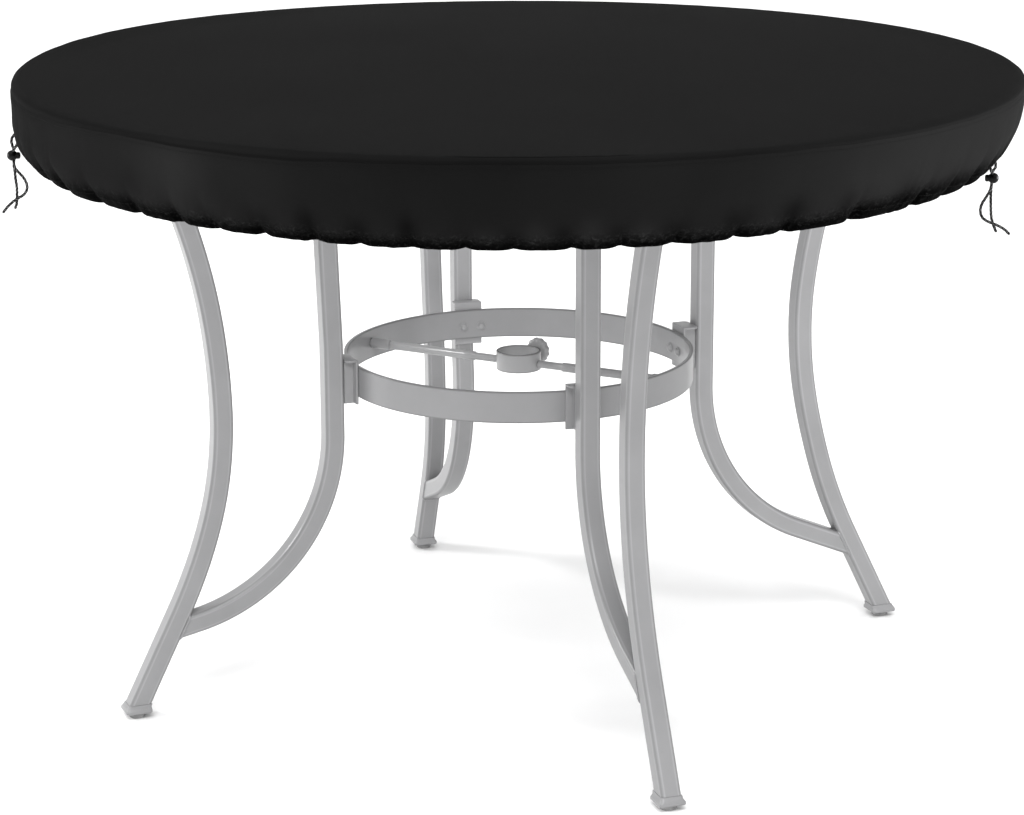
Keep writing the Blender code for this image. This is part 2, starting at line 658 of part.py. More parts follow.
def add_cross_rod(steel):
    """The two halves of the rod from the umbrella ring to the hoop, each with its end ferrule."""
    hoop_face = hoop_flat(HOOP_R - HOOP_THICK / 2) - GAP
    ferrule_from = hoop_face - FERRULE_LENGTH
    for k in range(2):
        pose = turned(180 * k) @ Matrix.Translation((0, 0, ROD_Z))
        ferrule = round_bar(FERRULE_R, ferrule_from, hoop_face, 1 * MM)
        ferrule.transform(pose)
        add_object(f"rod_ferrule_{k + 1}", ferrule, steel)
        rod = round_bar(ROD_R, RING_OUTER + GAP, ferrule_from - GAP, 0.4 * MM)
        rod.transform(pose)
        add_object(f"cross_rod_{k + 1}", rod, steel)


def add_umbrella_ring(steel):
    """The ring that guides an umbrella pole, drilled for its thumb screw, and the screw's knob."""
    edge = 0.8 * MM
    section = [
        (RING_OUTER, RING_LOW + edge), (RING_OUTER, RING_HIGH - edge), (RING_OUTER - edge, RING_HIGH),
        (RING_INNER + edge, RING_HIGH), (RING_INNER, RING_HIGH - edge), (RING_INNER, RING_LOW + edge),
        (RING_INNER + edge, RING_LOW), (RING_OUTER - edge, RING_LOW),
    ]
    along_x = Matrix.Rotation(math.radians(90), 4, "Y")
    outward = turned(KNOB_BEARING) @ Matrix.Translation((0, 0, KNOB_Z)) @ along_x
    drill = SCREW_R + GAP
    reach = 4 * MM
    hole = lathe([(0, RING_INNER - reach), (drill, RING_INNER - reach), (drill, RING_OUTER + reach),
                  (0, RING_OUTER + reach)], 12)
    hole.transform(outward)
    add_object("umbrella_ring", combined(lathe(section, 40), [hole], "DIFFERENCE"), steel)

    tip, face = RING_INNER + 0.4 * MM, RING_OUTER + 1.2 * MM
    knob = lathe([
        (0, tip), (SCREW_R, tip), (SCREW_R, face), (KNOB_R - 5 * MM, face),
        (KNOB_R - 0.8 * MM, face + 1.6 * MM), (KNOB_R, face + 4 * MM), (KNOB_R, face + 7.6 * MM),
        (KNOB_R - 1.4 * MM, face + 10.2 * MM),
        (KNOB_R - 5.4 * MM, face + 11 * MM), (KNOB_R - 7.2 * MM, face + 9.4 * MM), (0, face + 9 * MM),
    ], 20)
    knob.transform(outward)
    add_object("umbrella_knob", knob, steel)


# ---- the whole object ----

def main():
    clear_scene()
    fabric = make_material("cover_fabric", (0.020, 0.020, 0.022), 0.72)
    cord = make_material("drawcord", (0.030, 0.030, 0.032), 0.80)
    plastic = make_material("lock_plastic", (0.018, 0.018, 0.019), 0.35)
    steel = make_material("grey_steel", (0.36, 0.36, 0.37), 0.42)
    rubber = make_material("glide_rubber", (0.30, 0.30, 0.31), 0.60)

    add_cover(fabric)
    add_drawcords(cord, plastic)
    add_table_top(steel)
    for side, leg in LEGS.items():
        add_leg_plate(side, leg, steel)
        add_outer_bar(side, leg, steel)
        add_inner_bar(side, leg, steel)
        add_foot(side, leg, steel, rubber)
        add_bracket(side, leg, steel)
        add_bolts(side, leg, steel)
    add_hoop(steel)
    add_cross_rod(steel)
    add_umbrella_ring(steel)


main()
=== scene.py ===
# Looks of the round patio table cover and the plain table under it.
# Metres, +Z up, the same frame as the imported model. Bearings are degrees from +X towards +Y.

import math

import bmesh
import bpy
import numpy as np
from mathutils import Matrix, Vector


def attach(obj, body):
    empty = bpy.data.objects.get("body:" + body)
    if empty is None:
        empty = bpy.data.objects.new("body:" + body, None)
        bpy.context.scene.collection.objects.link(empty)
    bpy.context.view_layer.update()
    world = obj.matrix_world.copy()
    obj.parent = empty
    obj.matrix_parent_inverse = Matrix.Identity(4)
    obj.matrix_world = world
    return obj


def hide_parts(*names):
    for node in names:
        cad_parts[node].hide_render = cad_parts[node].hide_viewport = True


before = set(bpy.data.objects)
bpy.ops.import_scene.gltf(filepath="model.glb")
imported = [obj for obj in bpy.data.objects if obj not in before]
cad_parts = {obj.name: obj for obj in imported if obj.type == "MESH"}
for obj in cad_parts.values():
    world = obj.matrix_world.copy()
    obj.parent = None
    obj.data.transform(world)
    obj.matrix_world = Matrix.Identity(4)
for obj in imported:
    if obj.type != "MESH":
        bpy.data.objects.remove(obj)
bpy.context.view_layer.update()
mm = 0.001
viewTurn = 28.0  # the viewer stands this far round from -Y towards +X
print("frame loaded:", len(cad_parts), "nodes")


# Camera: a long lens looking down at the table from the front

cameraValues = {
    "spot": (-0.00842, -3.63930, 1.32161),  # before the turn to the viewer's side
    "tilt": 15.184,                         # degrees below level
    "roll": -0.162,
    "lens": 107.572,
    "sensorWidth": 36.0,                    # mm, as the lens
    "clipEnd": 60.0,
}


def makeCamera(values):
    # pose = turn about Z, times the spot, times a pitch of 90 degrees less the tilt, times the roll
    camera = bpy.data.cameras.new("viewerCamera")
    camera.lens = values["lens"]
    camera.sensor_width = values["sensorWidth"]
    camera.sensor_fit = "HORIZONTAL"
    camera.clip_end = values["clipEnd"]
    holder = bpy.data.objects.new("viewerCamera", camera)
    bpy.context.collection.objects.link(holder)
    holder.matrix_world = (
        Matrix.Rotation(math.radians(viewTurn), 4, "Z")
        @ Matrix.Translation(values["spot"])
        @ Matrix.Rotation(math.radians(90 - values["tilt"]), 4, "X")
        @ Matrix.Rotation(math.radians(values["roll"]), 4, "Z")
    )
    bpy.context.scene.camera = holder


makeCamera(cameraValues)
print("camera made")


# Small tools for shapes worked out as whole arrays

def polar(bearing, radius, height):
    # point = (radius cos bearing, radius sin bearing, height)
    turn = np.radians(bearing)
    parts = np.broadcast_arrays(radius * np.cos(turn), radius * np.sin(turn), height)
    return np.stack(parts, axis=-1).astype(float)


def ease(value):
    # smooth step: 3 t^2 - 2 t^3, held between 0 and 1
    value = np.clip(value, 0.0, 1.0)
    return value * value * (3 - 2 * value)


def hump(distance, width):
    # bell curve: exp of minus (distance / width) squared
    return np.exp(-(distance / width) ** 2)


def turnBetween(bearing, middle):
    # signed angle from middle to bearing, between -180 and 180
    return (bearing - middle + 180) % 360 - 180


def around(rows, bearing):
    # value at each bearing, eased from one (bearing, value) row to the next and closed round
    rows = np.array(rows, dtype=float)
    spots = np.append(rows[:, 0], rows[0, 0] + 360)
    values = np.append(rows[:, 1], rows[0, 1])
    turn = (bearing - spots[0]) % 360 + spots[0]
    k = np.clip(np.searchsorted(spots, turn, side="right") - 1, 0, len(rows) - 1)
    share = (turn - spots[k]) / (spots[k + 1] - spots[k])
    return values[k] + (values[k + 1] - values[k]) * ease(share)


def waves(seed, bearing, low, high, count):
    # uneven periodic wave: a sum of sines, each a whole number of times round, with drawn sizes and phases
    draw = np.random.default_rng(seed)
    total = np.zeros_like(bearing, dtype=float)
    for times in draw.integers(low, high + 1, count):
        size, phase = draw.uniform(0.4, 1.0), draw.uniform(0, 2 * np.pi)
        total = total + size * np.sin(times * np.radians(bearing) + phase)
    return total / math.sqrt(count / 2)


def smoothTable(rows, share):
    # columns of a table read along its length (0 to 1) on a Catmull-Rom curve
    rows = np.array(rows, dtype=float)
    ends = np.vstack([2 * rows[0] - rows[1], rows, 2 * rows[-1] - rows[-2]])
    place = np.clip(np.asarray(share, dtype=float), 0, 1) * (len(rows) - 1)
    k = np.minimum(place.astype(int), len(rows) - 2)
    t = (place - k)[..., None]
    a, b, c, d = ends[k], ends[k + 1], ends[k + 2], ends[k + 3]
    even, odd = 2 * a - 5 * b + 4 * c - d, 3 * b - a - 3 * c + d
    return b + (c - a) * t / 2 + even * t ** 2 / 2 + odd * t ** 3 / 2


def unit(rows):
    # each row over its own length
    return rows / np.linalg.norm(rows, axis=-1, keepdims=True)


def gridQuads(rows, columns):
    # quads of a grid that closes round its columns, and each corner's (row, column) place before it wraps
    i, j = np.meshgrid(np.arange(rows - 1), np.arange(columns), indexing="ij")
    offsets = ((0, 0), (1, 0), (1, 1), (0, 1))
    corners = np.stack([np.stack([i + a, j + b], axis=-1) for a, b in offsets], axis=2)
    corners = corners.reshape(-1, 4, 2)
    return corners[..., 0] * columns + corners[..., 1] % columns, corners


def loopQuads(rows, columns):
    # quads of a grid that closes both ways
    _, corners = gridQuads(rows + 1, columns)
    return corners[..., 0] % rows * columns + corners[..., 1] % columns


def fanTriangles(ring, pole):
    # triangles from one point to a closed ring of point numbers
    return np.stack([np.full(len(ring), pole), ring, np.roll(ring, -1)], axis=1)


def tubeFaces(rows, columns):
    # quads of a tube's rings, and a fan at each end to two points that follow the rings' own
    quads, corners = gridQuads(rows, columns)
    first, last = np.arange(columns), (rows - 1) * columns + np.arange(columns)
    poles = rows * columns, rows * columns + 1
    return [quads, fanTriangles(first, poles[0]), fanTriangles(last, poles[1])[:, ::-1]], corners


def buildMesh(name, points, faceSets, uv=None, outward=True):
    # a mesh from whole arrays: points, sets of equal-sided faces, and a (u, v) pair for each face corner
    mesh = bpy.data.meshes.new(name)
    corners = np.concatenate([faces.ravel() for faces in faceSets])
    sides = np.concatenate([np.full(len(faces), faces.shape[1]) for faces in faceSets])
    mesh.vertices.add(len(points))
    mesh.vertices.foreach_set("co", np.ascontiguousarray(points, dtype=np.float32).ravel())
    mesh.loops.add(len(corners))
    mesh.loops.foreach_set("vertex_index", corners.astype(np.int32))
    mesh.polygons.add(len(sides))
    mesh.polygons.foreach_set("loop_start", np.concatenate([[0], np.cumsum(sides)[:-1]]).astype(np.int32))
    if uv is not None:
        mesh.uv_layers.new(name="cloth").data.foreach_set("uv", np.asarray(uv, dtype=np.float32).ravel())
    mesh.update(calc_edges=True)
    if outward and signedVolume(points, faceSets) < 0:
        mesh.flip_normals()
    mesh.shade_smooth()
    return mesh


def signedVolume(points, faceSets):
    # sum over each face's fan of triangles of a . (b x c) / 6: positive where faces point out
    total = 0.0
    for faces in faceSets:
        for k in range(1, faces.shape[1] - 1):
            a, b, c = points[faces[:, 0]], points[faces[:, k]], points[faces[:, k + 1]]
            total += np.einsum("ij,ij->i", a, np.cross(b, c)).sum() / 6
    return total


def markPoints(mesh, name, value):
    # one number for each point of the mesh, under a name that a material's nodes read
    mesh.attributes.new(name, "FLOAT", "POINT").data.foreach_set("value", value.astype(np.float32).ravel())


# Groups for the studio's lamps: what each of them lights, and the bars and fittings that shade some of them
litPieces = {group: bpy.data.collections.new(group + "Pieces") for group in ("cover", "table", "far")}
frameParts = bpy.data.collections.new("frameParts")


def placePiece(name, mesh, material, slot, replaced=(), sharp=None):
    # puts a finished mesh in the scene and gives it its material, lamps and body, the lamps chosen by its
    # slot
    if sharp is not None:
        mesh.set_sharp_from_angle(angle=math.radians(sharp))
    mesh.name = name
    mesh.materials.clear()
    mesh.materials.append(material)
    piece = bpy.data.objects.new(name, mesh)
    bpy.context.collection.objects.link(piece)
    steel = slot == "grey_steel"
    litPieces["table" if steel or slot == "glide_rubber" else "cover"].objects.link(piece)
    if steel and name != "tableTop":
        frameParts.objects.link(piece)
    if steel and name.endswith(("_back", "_right")):
        litPieces["far"].objects.link(piece)
    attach(piece, "root")
    if replaced:
        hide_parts(*replaced)
    return piece


def turnedMesh(name, section, sides, pose=None, ripple=None):
    # round body about Z: point = (r cos bearing, r sin bearing, h) for each (r, h) row of the section, which
    # ends in poles where r is 0 and closes on itself otherwise. ripple(bearing) may multiply r
    section = np.array(section, dtype=float)
    bearing = 360 * np.arange(sides) / sides
    closedLoop = section[0, 0] > 0
    body = section if closedLoop else section[1:-1]
    swell = np.ones(sides) if ripple is None else ripple(bearing)
    points = polar(bearing[None, :], body[:, :1] * swell[None, :], body[:, 1:2]).reshape(-1, 3)
    if closedLoop:
        faces = [loopQuads(len(body), sides)]
    else:
        faces, _ = tubeFaces(len(body), sides)
        points = np.vstack([points, [0, 0, section[0, 1]], [0, 0, section[-1, 1]]])
    if pose is not None:
        points = points @ np.array(pose.to_3x3()).T + np.array(pose.translation)
    return buildMesh(name, points, faces)


def sweptPoints(spine, side, other, section):
    # point = spine + a side + b other, for each (a, b) pair of the section at every station of the spine
    return spine[:, None] + side[:, None] * section[..., :1] + other[:, None] * section[..., 1:]


def closedSweep(name, rings):
    # rings of points (stations x around) skinned with quads and closed by a fan at each end
    points = np.vstack([rings.reshape(-1, 3), rings[0].mean(axis=0), rings[-1].mean(axis=0)])
    return buildMesh(name, points, tubeFaces(*rings.shape[:2])[0])


def roundedRectangle(across, deep, corner, steps=5, beyond=0.0):
    # outline of a rectangle whose corners are quarter circles, with a point beyond each end of them if asked
    turns = np.radians(np.linspace(0, 90, steps))
    arc = np.stack([np.cos(turns), np.sin(turns)], axis=-1) * corner
    if beyond:
        arc = np.vstack([[corner, -beyond], arc, [-beyond, corner]])
    places = []
    for k, (signA, signB) in enumerate(((1, 1), (-1, 1), (-1, -1), (1, -1))):
        quarter = np.radians(90 * k)
        spin = np.array([[math.cos(quarter), -math.sin(quarter)], [math.sin(quarter), math.cos(quarter)]])
        places.append(arc @ spin.T + [signA * (across / 2 - corner), signB * (deep / 2 - corner)])
    return np.vstack(places)


def evaluatedMesh(piece):
    # the piece's mesh with its modifiers applied, as a mesh of its own
    graph = bpy.context.evaluated_depsgraph_get()
    return bpy.data.meshes.new_from_object(piece.evaluated_get(graph))


# Small tools for materials

def newMaterial(name, **values):
    # a Principled material with the given values set on the shader's own sockets
    material = bpy.data.materials.new(name)
    material.use_nodes = True
    tree = material.node_tree
    shader = tree.nodes["Principled BSDF"]
    for key, value in values.items():
        shader.inputs[key.replace("_", " ")].default_value = value
    return material, tree, shader


def addNode(tree, kind, inputs=None, **settings):
    # a node with its settings, and its inputs given as numbers or as sockets to link
    node = tree.nodes.new("ShaderNode" + kind)
    for key, value in settings.items():
        setattr(node, key, value)
    for key, value in (inputs or {}).items():
        if isinstance(value, bpy.types.NodeSocket):
            tree.links.new(value, node.inputs[key])
        else:
            node.inputs[key].default_value = value
    return node


def mathNode(tree, operation, first, second=None):
    # the operation on one value or two, each a number or a socket
    inputs = {0: first} if second is None else {0: first, 1: second}
    return addNode(tree, "Math", inputs, operation=operation).outputs[0]


def plus(tree, first, second):
    # first + second
    return mathNode(tree, "ADD", first, second)


def times(tree, first, second):
    # first x second
    return mathNode(tree, "MULTIPLY", first, second)


def objectSpot(tree):
    # the point in the piece's own coordinates
    return addNode(tree, "TexCoord").outputs["Object"]


def noiseNode(tree, vector, scale, detail, **more):
    # noise at a vector times the scale. more may hold Roughness and Distortion
    inputs = {"Vector": vector, "Scale": scale, "Detail": detail, **more}
    return addNode(tree, "TexNoise", inputs).outputs["Fac"]


def bumpNode(tree, height, strength, distance, **more):
    # normal of the surface raised by height x distance. more may hold the Normal under it
    inputs = {"Strength": strength, "Distance": distance, "Height": height, **more}
    return addNode(tree, "Bump", inputs).outputs[0]


def betweenNode(tree, factor, low, high):
    # low + factor (high - low)
    return addNode(tree, "MapRange", {"Value": factor, "To Min": low, "To Max": high}).outputs[0]


def feed(tree, shader, **sockets):
    # links each socket to the shader's input of that name
    for key, socket in sockets.items():
        tree.links.new(socket, shader.inputs[key.replace("_", " ")])


def rampNode(tree, factor, stops):
    # colour ramp through (place, grey or colour) stops
    node = addNode(tree, "ValToRGB", {"Fac": factor})
    elements = node.color_ramp.elements
    while len(elements) < len(stops):
        elements.new(0.5)
    for element, (place, colour) in zip(elements, stops):
        element.position = place
        element.color = (*colour, 1.0) if isinstance(colour, tuple) else (colour, colour, colour, 1.0)
    return node.outputs["Color"]


def mixColour(tree, factor, first, second, blend="MIX"):
    # first and second, each a colour or a socket, blended by the factor
    node = addNode(tree, "Mix", {0: factor}, data_type="RGBA", blend_type=blend)
    for key, value in ((6, first), (7, second)):
        if isinstance(value, bpy.types.NodeSocket):
            tree.links.new(value, node.inputs[key])
        else:
            node.inputs[key].default_value = (*value, 1.0)
    return node.outputs[2]


# Drawcords: the free ends, with routes listed from the middle of each lock

cordValues = {
    "diameter": 2.8 * mm,
    "pitch": 14.5 * mm,      # length of one turn of the twist
    "strands": 3,
    "full": 1.28,            # the lay stands proud of the bare diameter
    "groove": 0.30,          # depth of the grooves between strands, as a share of the radius
    "roundness": 0.7,        # below 1 the strands are fuller and the grooves between them narrower
    "endRun": 0.8,           # the tips close over this share of the radius
    "sides": 24,
    "spacing": 0.42 * mm,    # between rings
    "pathPoints": 60,
    "phase": 1.1,            # the second cord's twist starts this far round
    "fibres": 60.0,          # hairs to a turn of the twist
    "paintedCrestLight": 0.26,          # painted light on the strands' crests against painted shade in the grooves
}

# Where the cords cross the middle of each lock, and the side that the button points to
lockPlaces = {
    "left": {"bearing": -142.84, "radius": 600.2 * mm, "height": 668.1 * mm, "side": 1},
    "right": {"bearing": 10.32, "radius": 571.4 * mm, "height": 652.9 * mm, "side": -1},
}

# Columns: across, towards the viewer, up (mm)
cordRoutes = {
    "left_a": (
        (6.2, -2.4, 26.6), (2.4, -1.8, 24.6), (-0.4, -1.8, 21.9), (-2.1, -1.8, 17.0), (-1.4, -1.8, 12.2),
        (-0.1, -1.7, 7.9), (0.0, -1.6, 5.0), (0.0, -1.6, -5.5), (-0.5, -1.6, -12.8), (0.2, -1.7, -17.6),
        (0.8, -1.8, -28.6), (1.8, -1.9, -38.3), (1.5, -2.0, -49.2), (0.7, -2.0, -58.0),
        (-1.7, -2.0, -64.3),
    ),
    "left_b": (
        (6.7, 1.6, 24.9), (6.9, 1.8, 21.4), (6.1, 1.8, 16.6), (4.4, 1.8, 12.6), (1.8, 1.7, 8.6),
        (0.1, 1.6, 5.0), (0.0, 1.6, -4.5), (1.0, 1.6, -13.6), (5.4, 1.8, -19.9), (10.9, 2.0, -26.3),
        (14.3, 2.2, -33.9), (14.0, 2.3, -40.8), (10.1, 2.4, -46.4), (4.2, 2.4, -50.2),
        (-1.6, 2.3, -53.9), (-8.3, 2.2, -59.7), (-12.5, 2.0, -64.6), (-15.6, 1.9, -68.5),
    ),
    "right_a": (
        (0.6, -4.6, 22.2), (3.4, -2.2, 17.8), (4.2, -1.8, 13.8), (2.8, -1.8, 10.2), (0.6, -1.7, 7.2),
        (0.0, -1.6, 4.6), (0.0, -1.6, -5.2), (-0.1, -1.6, -11.5), (-0.2, -1.6, -21.0),
        (0.3, -1.7, -33.2), (1.2, -1.8, -45.4), (3.2, -1.9, -52.7), (5.4, -2.0, -58.7), (8.0, -2.0, -64.2),
    ),
    "right_b": (
        (-5.7, 3.5, 18.6), (-3.2, 2.6, 15.6), (-2.5, 2.2, 12.2), (-1.6, 1.9, 8.8), (-0.4, 1.7, 6.2),
        (0.0, 1.6, 3.6), (0.0, 1.6, -5.0), (-2.0, 1.6, -14.4), (-6.6, 1.7, -22.8), (-10.8, 1.9, -30.2),
        (-12.2, 2.1, -38.1), (-9.8, 2.3, -45.4), (-4.0, 2.4, -50.0), (3.3, 2.4, -53.0),
        (10.0, 2.3, -56.0), (16.7, 2.2, -60.1), (22.8, 2.0, -66.1),
    ),
}


def viewerAxes():
    # level directions across the view and towards the viewer
    turn = math.radians(viewTurn)
    across = np.array([math.cos(turn), math.sin(turn), 0.0])
    towards = np.array([math.sin(turn), -math.cos(turn), 0.0])
    return across, towards


def cordPath(route, place, count):
    # evenly spaced points on the Catmull-Rom curve through the route
    across, towards = viewerAxes()
    middle = polar(place["bearing"], place["radius"], place["height"])
    route = np.array(route) * mm
    knots = middle + route[:, :1] * across + route[:, 1:2] * towards + route[:, 2:] * [0, 0, 1]
    fine = smoothTable(knots, np.linspace(0, 1, 24 * len(knots)))  # 24 points from knot to knot
    reach = np.append(0, np.cumsum(np.linalg.norm(np.diff(fine, axis=0), axis=1)))
    even = np.linspace(0, reach[-1], count)
    return np.stack([np.interp(even, reach, fine[:, k]) for k in range(3)], axis=-1), reach[-1]


def twistedCord(name, route, place, values, phase):
    # tube of radius R (1 - groove (1 - |cos(strands (angle - twist) / 2)| ^ roundness)), its twist growing
    # along it, and closing like a half ball at each end
    _, length = cordPath(route, place, 8)
    spine, length = cordPath(route, place, int(length / values["spacing"]))
    tangent = unit(np.gradient(spine, axis=0))
    side = unit(np.cross(tangent, viewerAxes()[1]))
    other = np.cross(side, tangent)
    along = np.linspace(0, length, len(spine))
    angle = np.linspace(0, 2 * np.pi, values["sides"], endpoint=False)
    turning = angle[None, :] - 2 * np.pi * along[:, None] / values["pitch"] + phase
    lobes = np.abs(np.cos(turning * values["strands"] / 2)) ** values["roundness"]
    full = values["diameter"] / 2 * values["full"]
    radius = full * (1 - values["groove"] * (1 - lobes))
    toEnd = np.minimum(along, length - along) / (full * values["endRun"])
    radius = radius * np.sqrt(np.clip(1 - (1 - np.clip(toEnd, 0.03, 1)) ** 2, 0, 1))[:, None]
    section = np.stack([radius * np.cos(angle), radius * np.sin(angle)], axis=-1)
    rings = sweptPoints(spine, side, other, section)
    faces, corners = tubeFaces(*rings.shape[:2])
    points = np.vstack([rings.reshape(-1, 3), spine[0], spine[-1]])
    quadUv = np.stack([corners[..., 1] / len(angle), corners[..., 0] * length / len(spine)], axis=-1)
    endUv = np.zeros((2 * 3 * len(angle), 2))  # the corners of both fans
    return buildMesh(name, points, faces, uv=np.vstack([quadUv.reshape(-1, 2), endUv])), length


def cordMaterial(values):
    # dark polyester cord: tone = hair x patch + paintedCrestLight cos(2 pi strands lay), painted shade near
    # black in the grooves and painted light greyer on the strands, where lay is the length in turns of the
    # twist plus the share of the way round
    material, tree, shader = newMaterial("twistedPolyester", Roughness=0.7, Specular_IOR_Level=0.10)
    split = addNode(tree, "SeparateXYZ", {0: addNode(tree, "UVMap", uv_map="cloth").outputs["UV"]})
    lay = plus(tree, times(tree, split.outputs[1], 1 / values["pitch"]), split.outputs[0])
    fibre = addNode(tree, "CombineXYZ", {0: times(tree, lay, values["fibres"]), 1: split.outputs[1]})
    hair = noiseNode(tree, fibre.outputs[0], 1.0, 3.0)
    patch = noiseNode(tree, objectSpot(tree), 160.0, 2.0)
    # painted shade in the grooves and painted light on the strands' crests, striped along the lay
    strand = mathNode(tree, "COSINE", times(tree, lay, 2 * math.pi * values["strands"]))
    tone = plus(tree, times(tree, hair, patch), times(tree, strand, values["paintedCrestLight"]))
    colour = rampNode(tree, tone, [(0.12, 0.001), (0.30, 0.005), (0.38, 0.04), (0.52, 0.16)])
    feed(tree, shader, Base_Color=colour, Normal=bumpNode(tree, hair, 0.5, 0.15 * mm))
    return material


# Cord locks: a ball with a slot down through it and a ribbed push button

lockValues = {
    "radius": 6.3 * mm,
    "flatAt": 0.99,            # the ball is cut flat at this share of its radius, above and below
    "seamOut": 0.10 * mm,      # moulding seam round its middle
    "seamHalf": 0.35 * mm,
    "shift": -1.6 * mm,        # the ball's middle from the cords, away from the button
    "slotHalf": 2.1 * mm,      # half the slot's width
    "slotRun": 1.6 * mm,       # half the distance between the cords
    "buttonRadius": 4.0 * mm,
    "buttonOut": 3.3 * mm,
    "buttonSeat": 1.4 * mm,
    "gap": 0.3 * mm,
    "ribs": 14,
    "ribDepth": 0.022,         # share of the button's radius
}

# The button's end. Columns: share of its radius, depth below its face (mm)
buttonEnd = ((1.0, 1.9), (0.96, 1.2), (0.84, 0.5), (0.66, 0.1), (0.5, 0.0), (0.3, 0.2), (0.0, 0.3))


def lockPose(place):
    # pose = shift to where the cords cross the lock, times a turn that points +X to the button's side
    centre = polar(place["bearing"], place["radius"], place["height"])
    return (Matrix.Translation(centre.tolist())
            @ Matrix.Rotation(math.radians(viewTurn + 90 - 90 * place["side"]), 4, "Z"))


def cutMesh(mesh, cutters):
    # a mesh less its cutters, by exact booleans
    body = bpy.data.objects.new("lockBody", mesh)
    bpy.context.collection.objects.link(body)
    tools = []
    for cutter in cutters:
        tool = bpy.data.objects.new("lockCutter", cutter)
        bpy.context.collection.objects.link(tool)
        step = body.modifiers.new("cut", "BOOLEAN")
        step.operation = "DIFFERENCE"
        step.solver = "EXACT"
        step.object = tool
        tools.append(tool)
    result = evaluatedMesh(body)
    for used in (body, *tools):
        bpy.data.objects.remove(used)
    return result


def lockBodyMesh(name, place, values):
    # ball: radius r sin t at height r cos t, held within flatAt r, its seam a bell curve of the height,
    # less a slot for the cords and a recess for the button
    turns = np.radians(np.linspace(0, 180, 41))
    radius, height = values["radius"] * np.sin(turns), values["radius"] * np.cos(turns)
    seam = values["seamOut"] * hump(height, values["seamHalf"])
    flat = values["flatAt"] * values["radius"]
    section = np.stack([radius + seam, np.clip(height, -flat, flat)], -1)
    section[0, 0] = section[-1, 0] = 0
    ball = turnedMesh(name, section, 56, Matrix.Translation((values["shift"], 0, 0)))

    angle = np.radians(np.linspace(0, 360, 32, endpoint=False))
    run = np.sign(np.sin(angle)) * values["slotRun"]
    half = values["slotHalf"]
    outline = np.stack([half * np.cos(angle), half * np.sin(angle) + run], axis=-1)
    ends = np.array([-2, 2]) * values["radius"]
    rings = np.stack([np.column_stack([outline, np.full(len(outline), z)]) for z in ends])
    tunnel = closedSweep("tunnel", rings)

    seat = values["radius"] + values["shift"] - values["buttonSeat"]
    wide = values["buttonRadius"] + values["gap"]
    along = Matrix.Rotation(math.radians(90), 4, "Y")
    recess = turnedMesh("recess", [(0, seat), (wide, seat), (wide, 3 * wide), (0, 3 * wide)], 40, along)
    body = cutMesh(ball, [tunnel, recess])
    body.transform(lockPose(place))
    return body


def buttonMesh(name, place, values):
    # short round plunger with a dished end, its radius R (1 + ribDepth cos(ribs angle))
    base = values["radius"] + values["shift"] - values["buttonSeat"] + values["gap"]
    end = values["radius"] + values["shift"] + values["buttonOut"]
    r = values["buttonRadius"]
    section = [(0, base), (r, base)] + [(r * share, end - depth * mm) for share, depth in buttonEnd]
    along = Matrix.Rotation(math.radians(90), 4, "Y")
    return turnedMesh(name, section, 112, lockPose(place) @ along,
                      lambda bearing: 1 + values["ribDepth"] * np.cos(np.radians(bearing) * values["ribs"]))


def lockMaterial():
    # black moulded plastic: faint grain, small scuffs that are lighter and rougher
    material, tree, shader = newMaterial("mouldedBlackPlastic", Specular_IOR_Level=0.12)
    spot = objectSpot(tree)
    grain = noiseNode(tree, spot, 2600.0, 3.0)
    scuff = noiseNode(tree, spot, 420.0, 5.0, Roughness=0.7)
    feed(tree, shader, Base_Color=rampNode(tree, scuff, [(0.45, 0.002), (0.62, 0.005), (0.74, 0.018)]),
         Roughness=rampNode(tree, scuff, [(0.40, 0.30), (0.70, 0.50)]),
         Normal=bumpNode(tree, grain, 0.25, 0.06 * mm))
    return material


def makeDrawcords():
    # at each side a lock and its button, and two cord ends whose twists start a phase apart
    cordFinish, lockFinish = cordMaterial(cordValues), lockMaterial()
    for side, place in lockPlaces.items():
        body = placePiece(f"lockBall_{side}", lockBodyMesh("ball", place, lockValues), lockFinish,
                          "lock_plastic", [f"cord_lock_{side}"], sharp=40)
        button = placePiece(f"lockPlunger_{side}", buttonMesh("plunger", place, lockValues), lockFinish,
                            "lock_plastic", [f"lock_button_{side}"], sharp=40)
        for k, leg in enumerate("ab"):
            key = f"{side}_{leg}"
            mesh, length = twistedCord("cord", cordRoutes[key], place, cordValues, k * cordValues["phase"])
            cord = placePiece(f"cordEnd_{key}", mesh, cordFinish, "drawcord", [f"drawcord_{key}"])
            path, _ = cordPath(cordRoutes[key], place, cordValues["pathPoints"])
            print(f"cord {key}: {length * 1000:.1f} mm")


makeDrawcords()
print("drawcords and locks made")


# The cover's cloth: a top panel turned down over the rim, and the gathered skirt sewn to it

coverValues = {
    "rimRadius": 600 * mm,
    "top": 756 * mm,            # upper face of the top panel
    "thickness": 0.9 * mm,
    "front": -60.0,             # bearing where the hem hangs lowest
    "hemLow": 101 * mm,
    "lowStretch": 7,            # the greater, the shorter the stretch where the hem hangs that low
    "hemHigh": 94 * mm,
    "slackSide": 217.0,         # the skirt hangs fuller on this side
    "slack": 5.5 * mm,
    "pinch": 4.0 * mm,          # a full tuck draws in this far
    "rise": 2.8 * mm,           # and lifts the lower edge this far
    "bulge": 2.6 * mm,          # a puff between two tucks stands out this far
    "pucker": 0.8 * mm,         # fine unevenness of the gathered hem
    "longWave": 0.75 * mm,      # broad ripples of the skirt
    "leanWave": 0.45 * mm,      # and short ones that lean as they run down
    "flutter": 0.35,            # unevenness of the seam's place (mm)
    "valleyWidth": 5.5 * mm,    # of the dip along the seam
    "stretch": 0.07 * mm,       # short ripples where the top panel is pulled over the rim
    "broad": 0.28 * mm,         # and broad ones all over it
    "liftFrom": 545 * mm,
    "liftFade": 75.0,           # drop where the skirt hangs true again (mm)
    "columns": 1080,
    "panelColumns": 720,
}

